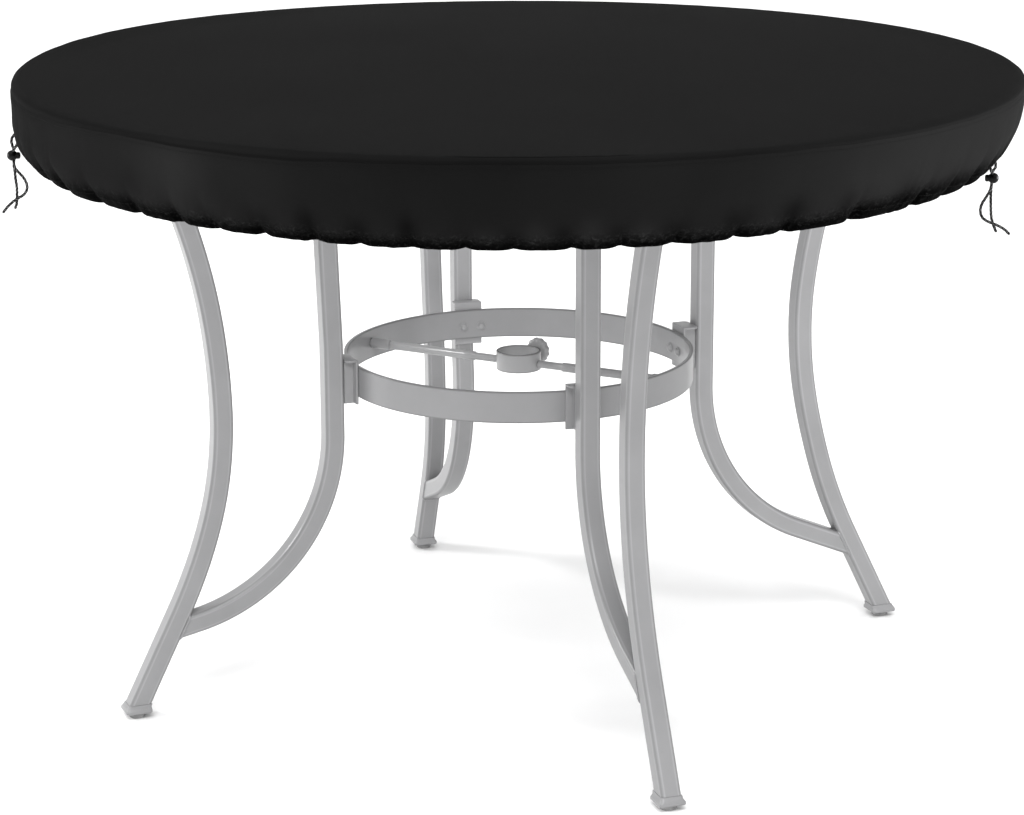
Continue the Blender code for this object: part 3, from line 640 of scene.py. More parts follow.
# Places where the rim stands proud of the table. Columns: bearing, lift (mm), width (degrees)
rimLifts = ((180.0, 4.2, 34.0), (48.0, 1.6, 26.0))

# Drop of the rim seam below the top, and inward reach of the rounding above it (mm)
seamDrops = ((-175, 5.5), (-140, 8.0), (-122, 7.0), (-107, 3.4), (-99, 5.6), (-93, 6.6), (-86, 7.4),
             (-78, 4.8), (-63, 3.2), (-56, 3.9), (-45, 3.4), (-34, 2.8), (-20, 3.2), (10, 4.2), (60, 4.4),
             (95, 3.2), (130, 4.6), (160, 3.4))
rimRounding = ((-170, 11), (-120, 11), (-100, 7), (-40, 7), (-24, 17), (-7, 19), (10, 16), (35, 10), (80, 7),
               (140, 9))
# How far the folded lip of the seam stands out, as a share of its full size, which also scales the painted
# shade in its fold
seamFolds = ((-175, 0.1), (-122, 0.12), (-108, 0.4), (-99, 0.6), (-40, 0.5), (-28, 0.2), (-12, 0.05),
             (30, 0.1), (100, 0.6), (150, 0.3))
# Depth of the dip along the seam (mm)
seamValleys = ((-170, 0.1), (-122, 0.1), (-108, 0.4), (-98, 1.0), (-86, 1.2), (-76, 1.1), (-66, 1.7),
               (-57, 1.9), (-46, 1.1), (-34, 0.4), (-20, 0.1), (20, 0.1), (70, 0.9), (110, 0.5), (150, 0.8))
# The folded lip of the seam. Columns: how far in from the rim (out below 0), how far below the seam (mm)
seamLip = ((-0.45, 0.9), (-0.75, 1.7), (-0.55, 2.4), (0.1, 2.7), (0.9, 2.4))

# Tucks of the gathered hem that show. Columns: bearing, depth as a share of a full tuck
shownTucks = (
    (-142.8, 1.9), (-134.0, 0.8), (-128.0, 0.9), (-122.0, 1.1), (-114.4, 0.8), (-107.3, 0.9), (-100.6, 1.0),
    (-95.4, 0.7), (-89.9, 1.1), (-83.7, 0.8), (-78.8, 0.8), (-73.2, 0.6), (-67.7, 0.9), (-62.6, 0.6),
    (-56.6, 0.8), (-51.5, 1.0), (-45.8, 0.9), (-38.7, 1.2), (-33.0, 0.9), (-23.6, 1.3), (-13.5, 1.1),
    (-7.0, 0.8), (-0.8, 0.9), (4.8, 0.7), (10.3, 1.9),
)
hiddenTucks = 32

# Skirt section from the seam to the lower edge, then under it and back up inside as the drawcord's tunnel.
# Columns: drop (mm), inset (mm), share of tuck, share of slack, share of puff, share of pucker
skirtSection = (
    (5.0, 0.6, 0.00, 0.00, 0.00, 0.00),
    (9.0, -0.3, 0.00, 0.00, 0.00, 0.02),
    (18.0, -0.7, 0.02, 0.05, 0.05, 0.03),
    (30.0, 0.6, 0.05, 0.15, 0.15, 0.04),
    (42.0, 1.8, 0.03, 0.30, 0.12, 0.05),
    (54.0, 3.8, 0.10, 0.60, 0.30, 0.08),
    (66.0, 7.4, 0.26, 0.88, 0.52, 0.14),
    (77.0, 12.4, 0.56, 1.00, 0.80, 0.25),
    (86.0, 17.4, 0.82, 1.00, 0.85, 0.50),
    (92.5, 21.6, 0.95, 1.00, 0.60, 0.90),
    (98.6, 26.4, 1.00, 1.00, 0.50, 1.00),
    (101.0, 31.0, 1.00, 1.00, 0.35, 1.00),
    (101.0, 36.0, 0.80, 1.00, 0.20, 0.90),
    (99.0, 39.4, 0.60, 1.00, 0.10, 0.70),
    (96.0, 38.0, 0.60, 1.00, 0.10, 0.70),
    (94.2, 33.0, 0.70, 1.00, 0.20, 0.60),
    (90.5, 27.2, 0.85, 1.00, 0.30, 0.50),
    (86.5, 23.4, 0.88, 1.00, 0.50, 0.40),
)
# Patches of painted light and shade on the skirt, among them painted shadows in the tucks above the hem and
# painted highlights on the puffs between them. Columns: bearing, drop (mm), reach round (degrees), reach down
# (mm), change
paintedSkirtPatches = (
    (-99.4, 32.0, 3.9, 40.0, 0.42), (-105.8, 58.0, 1.7, 20.0, -0.26), (-119.0, 32.0, 4.0, 30.0, 0.06),
    (-93.6, 44.0, 1.6, 34.0, -0.10), (-86.5, 34.0, 3.0, 26.0, 0.05), (-30.0, 46.0, 6.0, 34.0, 0.06),
    (-14.0, 38.0, 9.0, 36.0, 0.12), (8.0, 30.0, 7.0, 30.0, 0.06), (60.0, 44.0, 12.0, 36.0, 0.10),
    (118.0, 40.0, 9.0, 36.0, -0.08), (165.0, 42.0, 10.0, 38.0, 0.10),
    (-106.4, 84.0, 1.7, 9.0, -0.36), (-100.8, 84.0, 1.6, 9.0, -0.34), (-95.0, 84.0, 1.3, 11.0, -0.34),
    (-88.9, 82.0, 1.4, 14.0, -0.40), (-83.7, 78.0, 1.3, 18.0, -0.44), (-78.2, 82.0, 1.1, 15.0, -0.44),
    (-73.2, 79.0, 1.0, 18.0, -0.46), (-62.7, 88.0, 0.9, 9.0, -0.36), (-57.7, 84.0, 0.9, 11.0, -0.36),
    (-52.2, 84.0, 1.1, 12.0, -0.36), (-46.4, 84.0, 1.3, 13.0, -0.40), (-39.9, 80.0, 1.3, 17.0, -0.44),
    (-33.2, 76.0, 1.6, 20.0, -0.50), (-26.2, 76.0, 1.6, 18.0, -0.46), (-17.0, 76.0, 1.8, 18.0, -0.44),
    (-8.5, 76.0, 2.0, 16.0, -0.36), (-65.3, 85.0, 1.2, 11.0, 0.30), (-60.3, 82.0, 1.2, 15.0, 0.42),
    (-54.9, 80.0, 1.3, 17.0, 0.44), (-49.5, 83.0, 1.4, 12.0, 0.34),
)
# Painted light and shade all round the skirt. Columns: bearing, share of the cloth's own tone
skirtPaintedLight = ((-142, 0.43), (-128, 0.53), (-114, 0.78), (-102, 0.97), (-90, 0.98), (-74, 0.80), (-59, 0.86),
              (-44, 0.925), (-33, 1.03), (-19, 1.20), (-3, 1.12), (8, 1.02), (60, 0.88), (130, 0.88),
              (190, 0.65))
# How much sooner the painted shade of the lower edge begins, which also moves the crinkles. Columns: bearing,
# share of the section's length
hemRises = ((-142, 0.11), (-112, 0.09), (-92, 0.02), (-60, 0.0), (-38, 0.015), (-15, 0.12), (12, 0.13),
            (70, 0.085), (170, 0.085))
# Shares of the section's length: the stitches under the seam, the tunnel's stitches, and the lower edge
seamRow, stitchRow, edgeRow = 0.075, 8.35 / 17, 11.0 / 17

tuckValues = {
    "lean": 0.8,            # a tuck strays this far to a side above the edge (degrees)
    "width": 8.0 * mm,      # at the edge
    "opening": 12.0 * mm,   # wider by this at the seam
    "steepness": 1.8,
    "cuspWidth": 3.0 * mm,
    "tuckCusp": 0.1,        # share of the cusp in a tuck
    "notchCusp": 0.5,       # and in the notch that it makes in the edge
    "shadeWidth": 1.5,      # the painted shade's width over the tuck's
    "room": 6.5,            # tucks this far apart (degrees) have a full puff between them
    "fullest": 1.25,
    "roundness": 0.8,
}

# Painted light and shade of the cloth: depths of painted shade, and strengths of painted highlights and sheen
paintedShadeValues = {
    "edgeFrom": 0.455,      # share of the section's length where the painted shade of the lower edge begins
    "edgeRun": 0.13,        # and over which it comes to its full depth
    "edgeDark": 0.93,
    "behindFrom": 70.0,     # this far round from the front, where no patches are set (degrees)
    "behindRun": 30.0,
    "tuckDark": 0.12,       # depth of the painted shade in a tuck
    "tuckDarkBehind": 0.33,  # added to it behind
    # painted highlight on the puffs just above the edge, behind
    "puffLightBehind": 0.22,
    "least": 0.04,
    "most": 1.8,
    "seamDark": 0.5,        # painted shade in the fold of the seam
    "awayLight": 0.08,      # painted sheen: the top panel's cloth is this much lighter behind than in front
    "farLight": 0.20,       # and this much more at its far rim
    "turnedDark": 0.36,     # painted shade where it turns down at the left
    "turnedAt": -130.0,
    "turnedReach": 26.0,
}


def rimLift(bearing):
    # sum of bell curves of the given height and width
    return sum(lift * mm * hump(turnBetween(bearing, middle), width) for middle, lift, width in rimLifts)


def allTucks():
    # the tucks that show, then uneven ones round the rest of the hem
    start, end = shownTucks[-1][0], shownTucks[0][0] + 360
    k = np.arange(hiddenTucks + 1)
    steps = 1 + 0.22 * np.sin(2.4 * k) + 0.12 * np.sin(5.1 * k + 1)
    behind = start + np.cumsum(steps)[:-1] * (end - start) / steps.sum()
    depths = 0.9 + 0.25 * np.sin(3.7 * k[:-1] + 0.5)
    shown = np.array(shownTucks)
    return np.append(shown[:, 0], behind), np.append(shown[:, 1], depths)


def tuckParts(bearing, share):
    # how deep each point is in a tuck, how notched its edge, how much painted shade it gets, and how full in
    # a puff. A tuck is the sum, for the tucks either side, of depth x ((1 - cusp) exp -(distance / width) ^
    # steepness + cusp exp -(distance / cuspWidth)). A notch has more of the cusp, and a puff is half a sine
    # between two
    v = tuckValues
    spots, depths = allTucks()
    above = (1 - share / edgeRow).clip(0, 1)
    place = (bearing + v["lean"] * waves(11, bearing, 9, 30, 6) * above - spots[0]) % 360 + spots[0]
    ends = np.append(spots, spots[0] + 360)
    deep = np.append(depths, depths[0])
    k = np.clip(np.searchsorted(ends, place, side="right") - 1, 0, len(spots) - 1)
    reach = np.radians(1.0) * coverValues["rimRadius"]
    before, after = (place - ends[k]) * reach, (ends[k + 1] - place) * reach
    width = v["width"] + v["opening"] * above

    def folds(cusp):
        # the tuck on each side of a point, by its distance along the rim
        return sum(depth * ((1 - cusp) * np.exp(-(distance / width) ** v["steepness"])
                            + cusp * np.exp(-distance / v["cuspWidth"]))
                   for depth, distance in ((deep[k], before), (deep[k + 1], after)))

    shadeWidth = v["shadeWidth"] * width
    shaded = deep[k] * hump(before, shadeWidth) + deep[k + 1] * hump(after, shadeWidth)
    room = ends[k + 1] - ends[k]
    puff = np.sin(np.pi * (place - ends[k]) / room) ** v["roundness"]
    puff = puff * np.minimum(room / v["room"], v["fullest"])
    return folds(v["tuckCusp"]), folds(v["notchCusp"]), shaded, puff


def seamShape(bearing):
    # drop of the rim seam, reach of the rounding, and depth of the valley along the seam, in metres
    flutter = coverValues["flutter"] * waves(5, bearing, 14, 60, 7)
    return ((around(seamDrops, bearing) + flutter) * mm,
            (around(rimRounding, bearing) + flutter) * mm,
            around(seamValleys, bearing) * mm)


def skirtPoints(bearing, share):
    # the skirt's outside at a bearing and a share of its length. Its radius is the rim's, less the section's
    # inset, the tucks and the seam's valley, plus slack, puffs, waves and puckers. Its height is the top's,
    # less the section's drop, drawn up where the hem hangs high, plus the notches and the rim's lift. Drops
    # are in mm, and each wave comes in and fades over a stretch of them
    v = coverValues
    drop, inset, gather, loose, full, fine = np.moveaxis(smoothTable(skirtSection, share), -1, 0)
    gather, fine = gather.clip(0, 1), fine.clip(0, 1)
    seam, _, valley = seamShape(bearing)
    tuck, notch, _, puff = tuckParts(bearing, share)
    nearFront = (1 + np.cos(np.radians(bearing - v["front"]))) / 2
    hem = v["hemHigh"] + (v["hemLow"] - v["hemHigh"]) * nearFront ** v["lowStretch"]
    pull = 1 + (hem / v["hemLow"] - 1) * ease(drop / 100)
    firstDrop = skirtSection[0][0]
    fall = drop * mm * pull + (seam + 0.8 * mm - firstDrop * mm) * (1 - ease((drop - firstDrop) / 26))
    slack = v["slack"] * np.cos(np.radians(bearing - v["slackSide"]))
    longWave = v["longWave"] * waves(21, bearing, 8, 34, 9) * ease((drop - 12) / 50)
    leanWave = v["leanWave"] * waves(23, bearing + 3.0 * drop / 40, 30, 90, 9)
    leanWave = leanWave * ease((drop - 22) / 50) * ease((108 - drop) / 12)
    patchy = 0.65 + 0.35 * waves(31, bearing, 5, 17, 5)
    pucker = v["pucker"] * waves(37, bearing + 0.02 * drop, 150, 300, 16) * fine * patchy
    radius = (v["rimRadius"] - inset * mm + slack * loose - v["pinch"] * gather * tuck
              + v["bulge"] * full * puff + longWave + leanWave + pucker
              - valley * hump(fall - seam, v["valleyWidth"]))
    height = (v["top"] - fall + v["rise"] * gather ** 2 * notch + 0.6 * pucker * ease((drop - 80) / 12)
              + rimLift(bearing) * ease((v["liftFade"] - drop) / v["liftFade"]))
    return polar(bearing, radius, height)


def paintedSkirtShade(bearing, share):
    # painted light and shade of the skirt: 1 on open cloth, less by painted shade in the tucks and towards
    # the turned-under edge, more by a painted highlight on the puffs just above it behind, and more or less
    # by the patches of painted light and shade and the painted light all round
    v = paintedShadeValues
    _, _, shaded, puff = tuckParts(bearing, share)
    drop = smoothTable(skirtSection, share)[..., 0]
    # painted shade towards the lower edge
    toEdge = ease((share - v["edgeFrom"] + around(hemRises, bearing)) / v["edgeRun"])
    behind = ease((np.abs(turnBetween(bearing, coverValues["front"])) - v["behindFrom"]) / v["behindRun"])
    inTuck = np.clip(shaded, 0, 1.3) * ease((drop - 48) / 34)
    # painted shade in the tucks and a painted highlight on the puffs
    shade = (1 - (v["tuckDark"] + v["tuckDarkBehind"] * behind) * inTuck
             + v["puffLightBehind"] * behind * puff * hump(drop - 79, 10))
    for middle, low, wide, tall, change in paintedSkirtPatches:
        shade = shade + change * hump(turnBetween(bearing, middle), wide) * hump(drop - low, tall)
    return np.clip(shade * around(skirtPaintedLight, bearing) * (1 - v["edgeDark"] * toEdge), v["least"], v["most"])


def finishSheet(piece, thickness):
    # gives the surface its thickness on the inner side
    step = piece.modifiers.new("thickness", "SOLIDIFY")
    step.thickness = thickness
    step.offset = -1.0
    step.use_rim = True


def skirtMesh(values):
    # skirtPoints on a grid of shares down the section by bearings round the rim. Its map is in metres: the
    # way round the rim, and the length down the section
    share = np.concatenate([np.linspace(0, 0.42, 17), np.linspace(0.42, 0.80, 21)[1:],
                            np.linspace(0.80, 1, 8)[1:]])
    bearing = np.linspace(-180, 180, values["columns"], endpoint=False)
    shares, bearings = np.meshgrid(share, bearing, indexing="ij")
    points = skirtPoints(bearings, shares)
    quads, corners = gridQuads(*shares.shape)
    along = np.append(0, np.cumsum(np.linalg.norm(np.diff(points[:, 0], axis=0), axis=1)))
    uv = np.stack([corners[..., 1] * 2 * np.pi * values["rimRadius"] / values["columns"],
                   along[corners[..., 0]]], -1)
    mesh = buildMesh("skirt", points.reshape(-1, 3), [quads], uv=uv.reshape(-1, 2), outward=False)
    # painted light and shade of the skirt, and where its hem crinkles
    markPoints(mesh, "paintedClothShade", paintedSkirtShade(bearings, shares))
    markPoints(mesh, "clothCrinkle", ease((shares - 0.41 + 0.6 * around(hemRises, bearings)) / 0.10))
    return mesh, along[-1]


def paintedPanelShade(bearing, radius, fall, seam, values):
    # painted light and shade of the top panel: 1, less by painted shade in the seam's fold and where the
    # cloth turns down at the left, and more towards the far rim by a painted sheen of awayLight a + farLight
    # a^3, where a runs from -1 in front to 1 behind
    intoSeam = hump(fall - seam - 1.2 * mm, 2.2 * mm) * around(seamFolds, bearing)
    away = -np.cos(np.radians(bearing - coverValues["front"])) * radius / coverValues["rimRadius"]
    turned = ease(2 * fall / seam) * hump(turnBetween(bearing, values["turnedAt"]), values["turnedReach"])
    return (1 - values["seamDark"] * intoSeam + values["awayLight"] * away
            + values["farLight"] * away.clip(0, 1) ** 3 - values["turnedDark"] * turned)


def panelMesh(values):
    # top panel: flat disc, then a quarter ellipse over the rim, then the folded lip of the seam, with ripples
    # that grow towards the rim and end at it. Its map is its own plan in metres
    rim = values["rimRadius"]
    bearing = np.linspace(-180, 180, values["panelColumns"], endpoint=False)
    seam, reach, valley = seamShape(bearing)
    flat = np.concatenate([np.linspace(0.03, 0.88, 12), np.linspace(0.88, 1, 15)[1:]])[:, None]
    turn = np.linspace(0, np.pi / 2, 12)[1:, None]
    lip = np.array(seamLip) * mm
    folded = np.where(lip[:, :1] < 0, around(seamFolds, bearing), 1.0)
    innerRadius = flat * (rim - reach)
    radius = np.vstack([innerRadius, rim - reach * (1 - np.sin(turn)), rim - lip[:, :1] * folded])
    fall = np.vstack([0 * innerRadius, seam * (1 - np.cos(turn)), seam + lip[:, 1:]])
    bearings = np.broadcast_to(bearing, radius.shape)
    nearRim = ease((radius - 0.50) / 0.10) * ease((rim - radius) / (8 * mm))
    stretch = values["stretch"] * (waves(41, bearings, 40, 110, 12) + 1.4) * nearRim
    offMiddle = ease(radius / 0.35) * ease((rim - radius) / (20 * mm))
    broad = values["broad"] * (1.2 + waves(43, bearings, 2, 7, 4)) * offMiddle
    lift = rimLift(bearings) * ease((radius - values["liftFrom"]) / (rim - values["liftFrom"]))
    radius = radius - valley * hump(fall - seam, values["valleyWidth"]) * (fall > 0)
    points = polar(bearings, radius, values["top"] - fall + lift + stretch + broad)
    points = np.vstack([points.reshape(-1, 3), [0.0, 0.0, values["top"]]])
    faces = [gridQuads(*radius.shape)[0], fanTriangles(np.arange(len(bearing)), radius.size)]
    corners = np.concatenate([part.ravel() for part in faces])
    mesh = buildMesh("panel", points, faces, uv=points[corners][:, :2], outward=False)
    # painted light and shade of the top panel, and no crinkles
    shade = paintedPanelShade(bearings, radius, fall, seam, paintedShadeValues)
    markPoints(mesh, "paintedClothShade", np.append(shade.ravel(), 1))
    markPoints(mesh, "clothCrinkle", np.zeros(len(points)))
    return mesh


stitchValues = {
    "pitch": 4.2 * mm,
    "length": 0.74,         # of a stitch, as a share of the pitch
    "thick": 0.55 * mm,
}

# One stitch. Columns: place along its half length, size and height above the cloth as shares of its thickness
stitchRings = ((-1.0, 0.25, -0.35), (-0.72, 0.85, 0.15), (0.0, 1.0, 0.35), (0.72, 0.85, 0.15),
               (1.0, 0.25, -0.35))


def stitchRowMesh(name, row, values, count):
    # one small capsule for each stitch, along the skirt's surface at a share of its length: ring point =
    # middle + place x along / 2 + (sink + size sin angle) out + size cos angle aside
    bearing = 360 * (np.arange(count) + 0.5) / count - 180
    half = np.degrees(values["pitch"] * values["length"] / 2 / coverValues["rimRadius"])
    before, after, middle = (skirtPoints(bearing + turn, row + 0 * bearing) for turn in (-half, half, 0))
    along = after - before
    down = skirtPoints(bearing, row + 0.004 + 0 * bearing) - skirtPoints(bearing, row - 0.004 + 0 * bearing)
    out = unit(np.cross(along, down))
    out = out * np.sign((out * middle * [1, 1, 0]).sum(axis=1, keepdims=True))
    aside = unit(np.cross(out, along))
    stations, sizes, heights = np.array(stitchRings).T
    size, sink = values["thick"] / 2 * sizes, heights * values["thick"]
    angle = np.linspace(0, 2 * np.pi, 6, endpoint=False)
    ring = (middle[:, None, None] + along[:, None, None] / 2 * stations[:, None, None]
            + out[:, None, None] * (sink[:, None] + size[:, None] * np.sin(angle))[..., None]
            + aside[:, None, None] * (size[:, None] * np.cos(angle))[..., None])
    quads, _ = gridQuads(len(stations), len(angle))
    every = (np.arange(count) * len(stations) * len(angle))[:, None]
    first, last = np.arange(len(angle)), (len(stations) - 1) * len(angle) + np.arange(len(angle))
    faces = [(quads[None] + every[:, None]).reshape(-1, 4), first[::-1] + every, last + every]
    return buildMesh(name, ring.reshape(-1, 3), faces)


fabricValues = {
    "yarn": 1.1 * mm,        # width of the weave's repeat
    "dark": 0.0088,          # the cloth's tone drifts between these
    "light": 0.0118,
    "crease": 26.0,          # scales of the noises
    "drift": 5.5,
    "slub": 900.0,
    "gather": 240.0,
    "streaks": 2.6,          # strength of the painted light and shade streaks in the gathers
    "paintedCrestLight": 0.60,          # and of the painted glints on their crests
}


def fabricMaterial(values):
    # black coated polyester: tone = drift x (paintedClothShade x (1 + painted light and shade streaks in the
    # gathers) + painted glints on their crests), over a weave = sin warp x sin weft on the piece's own map,
    # soft creases, and rucks where clothCrinkle is 1
    material, tree, shader = newMaterial("blackCoatedPolyester", Specular_IOR_Level=0.005)
    uv, spot = addNode(tree, "UVMap", uv_map="cloth").outputs["UV"], objectSpot(tree)
    split = addNode(tree, "SeparateXYZ", {0: uv})
    yarns = 2 * math.pi / values["yarn"]
    warp, weft = (mathNode(tree, "SINE", times(tree, split.outputs[k], yarns)) for k in (0, 1))
    slub = noiseNode(tree, uv, values["slub"], 2.0)
    crease = noiseNode(tree, spot, values["crease"], 4.0, Distortion=0.6)
    drift = noiseNode(tree, spot, values["drift"], 3.0)
    tone = plus(tree, times(tree, drift, 0.7), times(tree, slub, 0.3))
    colour = rampNode(tree, tone, [(0.30, values["dark"]), (0.70, values["light"])])
    shade, gathers = (addNode(tree, "Attribute", attribute_name=name).outputs["Fac"]
                      for name in ("paintedClothShade", "clothCrinkle"))
    fine = noiseNode(tree, spot, values["gather"], 3.0, Distortion=0.8)
    # painted light and shade streaks in the gathers, in step with the rucks' bump
    streak = times(tree, mathNode(tree, "SUBTRACT", fine, 0.5), times(tree, gathers, values["streaks"]))
    # painted glints on the gathers' crests
    crest = times(tree, rampNode(tree, fine, [(0.57, 0.0), (0.70, values["paintedCrestLight"])]), gathers)
    shade = plus(tree, times(tree, shade, plus(tree, streak, 1.0)), crest)
    low = bumpNode(tree, crease, 0.22, 1.2 * mm)
    ruck = bumpNode(tree, fine, times(tree, gathers, 0.6), 1.2 * mm, Normal=low)
    # the cloth's colour times its painted light and shade
    feed(tree, shader, Base_Color=mixColour(tree, 1.0, colour, shade, "MULTIPLY"),
         Roughness=betweenNode(tree, drift, 0.66, 0.80),
         Normal=bumpNode(tree, times(tree, warp, weft), 0.35, 0.12 * mm, Normal=ruck))
    return material


def threadMaterial():
    # polyester sewing thread: two-ply streaks
    material, tree, shader = newMaterial("sewingThread", Roughness=0.7, Specular_IOR_Level=0.02)
    ply = noiseNode(tree, objectSpot(tree), 1800.0, 2.0)
    feed(tree, shader, Base_Color=rampNode(tree, ply, [(0.35, 0.006), (0.65, 0.013)]))
    return material


def makeCover(values):
    # skirt, top panel and the two rows of stitches. The skirt's strip is as long as the rim is round, and the
    # panel's disc is 5 mm wider than the rim all round
    cloth, thread = fabricMaterial(fabricValues), threadMaterial()
    skirt, depth = skirtMesh(values)
    skirtPiece = placePiece("gatheredSkirt", skirt, cloth, "cover_fabric", ["cover_skirt"])
    panelPiece = placePiece("topPanel", panelMesh(values), cloth, "cover_fabric", ["cover_top"])
    for piece in (skirtPiece, panelPiece):
        finishSheet(piece, values["thickness"])
    rimRound = 2 * np.pi * values["rimRadius"]
    count = int(rimRound / stitchValues["pitch"])
    stitches = [placePiece(name, stitchRowMesh(name, row, stitchValues, count), thread, "cover_fabric")
                for name, row in (("seamStitches", seamRow), ("tunnelStitches", stitchRow))]
    print(f"cover made: skirt strip {rimRound:.3f} x {depth:.3f} m, {count} stitches a row")


makeCover(coverValues)


# The table: flat top on four wishbone legs, tied by a hoop with a cross rod and an umbrella ring

tableValues = {
    "topRadius": 592.5 * mm, "topThick": 18 * mm, "topFace": 754.2 * mm, "topEdge": 5 * mm,
    "barAcross": 24.6 * mm, "barDeep": 24.4 * mm, "barCorner": 4.2 * mm,
    "barTop": 731.6 * mm, "barFoot": 17.8 * mm,
    "shoulder": 1.3 * mm,
    "waistRadius": 381.5 * mm, "waistHeight": 375 * mm,
    "bendUp": 690 * mm, "bendDown": 505 * mm, "slope": 0.5,
    "innerBend": 220 * mm,
    "spreadFrom": 460 * mm, "spreadTo": 230 * mm, "swingFrom": 430 * mm, "swingTo": 100 * mm,
    "gap": 0.3 * mm,
    "hoopRadius": 211.5 * mm, "hoopThick": 5 * mm, "hoopCorner": 1.1 * mm, "hoopShoulder": 1.2 * mm,
    "hoopLow": 372.5 * mm, "hoopHigh": 410 * mm,
    "ringOuter": 27.5 * mm, "ringInner": 24.5 * mm, "ringCorner": 1.0 * mm, "ringShoulder": 1.0 * mm,
    "ringLow": 384 * mm, "ringHigh": 407 * mm,
    "weld": 1.5 * mm,
}

# Painted shade round each corner, from one shoulder to the other, with a painted highlight where below 0: of
# a bar, and of the bands
barPaintedShade = (0.0, -0.24, 0.05, 0.24, 0.05, -0.24, 0.0)
bandPaintedShade = (0.0, 0.3, 0.34, 0.34, 0.3, 0.0)

# The legs are not quite alike. Sideways swing and turn in degrees, the rest but the bearing in mm: spread of
# the outer bar's foot, the inner bar's distance out, its lean at the top, its bend's height, the bolts' shift
tableLegs = {
    "right": {"bearing": 49.2, "swing": 0.0, "spread": 10.0,
              "inner": 246.5, "lean": 0.0, "bend": 339.5, "turn": 67.0, "bolts": 0},
    "back": {"bearing": 134.6, "swing": 1.05, "spread": 0.0,
             "inner": 244.5, "lean": 0.0, "bend": 328.0, "turn": 69.0, "bolts": -4},
    "left": {"bearing": 229.6, "swing": 0.0, "spread": -4.0,
             "inner": 241.4, "lean": 11.0, "bend": 327.5, "turn": 78.0, "bolts": 0},
    "front": {"bearing": 317.15, "swing": 0.0, "spread": 0.0,
              "inner": 241.2, "lean": 0.0, "bend": 345.0, "turn": 69.0, "bolts": 0},
}


def outerRadius(leg, z):
    # waist radius plus the foot's spread, plus an arc above and below the waist, then a straight slope
    v = tableValues
    down = ease((v["spreadFrom"] - z) / (v["spreadFrom"] - v["spreadTo"]))
    waist = v["waistRadius"] + leg["spread"] * mm * down
    fall = v["waistHeight"] - z
    bend = v["slope"] * v["bendDown"]
    low = np.minimum(fall, bend) ** 2 / (2 * v["bendDown"]) + v["slope"] * np.maximum(fall - bend, 0)
    return waist + np.where(fall < 0, fall ** 2 / (2 * v["bendUp"]), low)


def legBearing(leg, height):
    # the leg's bearing, less its swing at the foot and plus its swing from the waist up (degrees)
    v = tableValues
    up = ease((height - v["swingTo"]) / (v["swingFrom"] - v["swingTo"]))
    return leg["bearing"] + leg["swing"] * (2 * up - 1)


def onLeg(leg, radius, height, across):
    # a point of a leg from its distance out, height and offset across, turned to the leg's bearing there
    turn = np.radians(legBearing(leg, height))
    return np.stack([radius * np.cos(turn) - across * np.sin(turn),
                     radius * np.sin(turn) + across * np.cos(turn), height + 0 * turn], axis=-1)


def barOutline():
    # the bars' section as (across, deep) rows, with points either side of its corners for the corners'
    # painted shade
    v = tableValues
    outline = roundedRectangle(v["barAcross"], v["barDeep"], v["barCorner"], beyond=v["shoulder"])
    return outline[None, :, 0], outline[None, :, 1]


def barMesh(name, rings):
    # a bar from its rings, with painted shade round each corner and a painted highlight beside it
    mesh = closedSweep(name, rings)
    shades = np.tile(barPaintedShade, 4 * len(rings))
    markPoints(mesh, "paintedCornerShade", np.append(shades, [0.0, 0.0]))
    return mesh


def outerBarMesh(leg):
    # rounded rectangle carried down the outer line, square to it, and cut level at both ends, where the two
    # rings next to each cut would cross it and are left out
    v = tableValues
    z = np.linspace(v["barTop"], v["barFoot"], 90)[:, None]
    slope = (outerRadius(leg, z + mm) - outerRadius(leg, z - mm)) / (2 * mm)
    square = 1 / np.sqrt(1 + slope ** 2)
    across, deep = barOutline()
    radius, height = outerRadius(leg, z) + deep * square, z - deep * slope * square
    level = np.isin(np.arange(len(z)), [0, len(z) - 1])[:, None]
    radius = np.where(level, outerRadius(leg, z) + deep / square, radius)
    height = np.where(level, z, height)
    rings = onLeg(leg, radius, height, across + 0 * z)
    return barMesh("outerBar", np.delete(rings, [1, 2, -3, -2], axis=0))


def innerBarLine(leg):
    # straight down with its lean to the bend, then an arc outwards: (radius, height, turn) rows
    v = tableValues
    inner, bend = leg["inner"] * mm, leg["bend"] * mm
    turn = np.radians(np.linspace(0, leg["turn"], 44))
    out, down = v["innerBend"] * (1 - np.cos(turn)), v["innerBend"] * np.sin(turn)
    arc = np.stack([inner + out, bend - down, turn], -1)
    heights = np.linspace(v["barTop"], bend, 16)[:-1]
    lean = leg["lean"] * mm * np.clip((heights - v["swingFrom"]) / (v["barTop"] - v["swingFrom"]), 0, 1)
    return np.vstack([np.stack([inner + lean, heights, 0 * heights], -1), arc])


def meetOuterBar(leg, radius, height, turn):
    # runs each line outwards and down, half of what is left at each step, to just inside the outer bar's face
    into = tableValues["barDeep"] / 2 - 0.8 * mm
    for _ in range(40):
        slope = (outerRadius(leg, height + mm) - outerRadius(leg, height - mm)) / (2 * mm)
        step = (outerRadius(leg, height) - into * np.sqrt(1 + slope ** 2) - radius) * 0.5
        radius = radius + step
        height = height - step / math.tan(turn)
    return radius, height


def innerBarMesh(leg):
    # rounded rectangle carried along the inner line, its last ring cut to the outer bar's face
    line = innerBarLine(leg)
    across, deep = barOutline()
    turn = line[:, 2:3]
    radius, height = line[:, :1] + deep * np.cos(turn), line[:, 1:2] + deep * np.sin(turn)
    endRadius, endHeight = meetOuterBar(leg, radius[-1], height[-1], line[-1, 2])
    radius, height = np.vstack([radius, endRadius]), np.vstack([height, endHeight])
    rings = onLeg(leg, radius, height, across + 0 * radius)
    return barMesh("innerBar", rings), rings[-1]


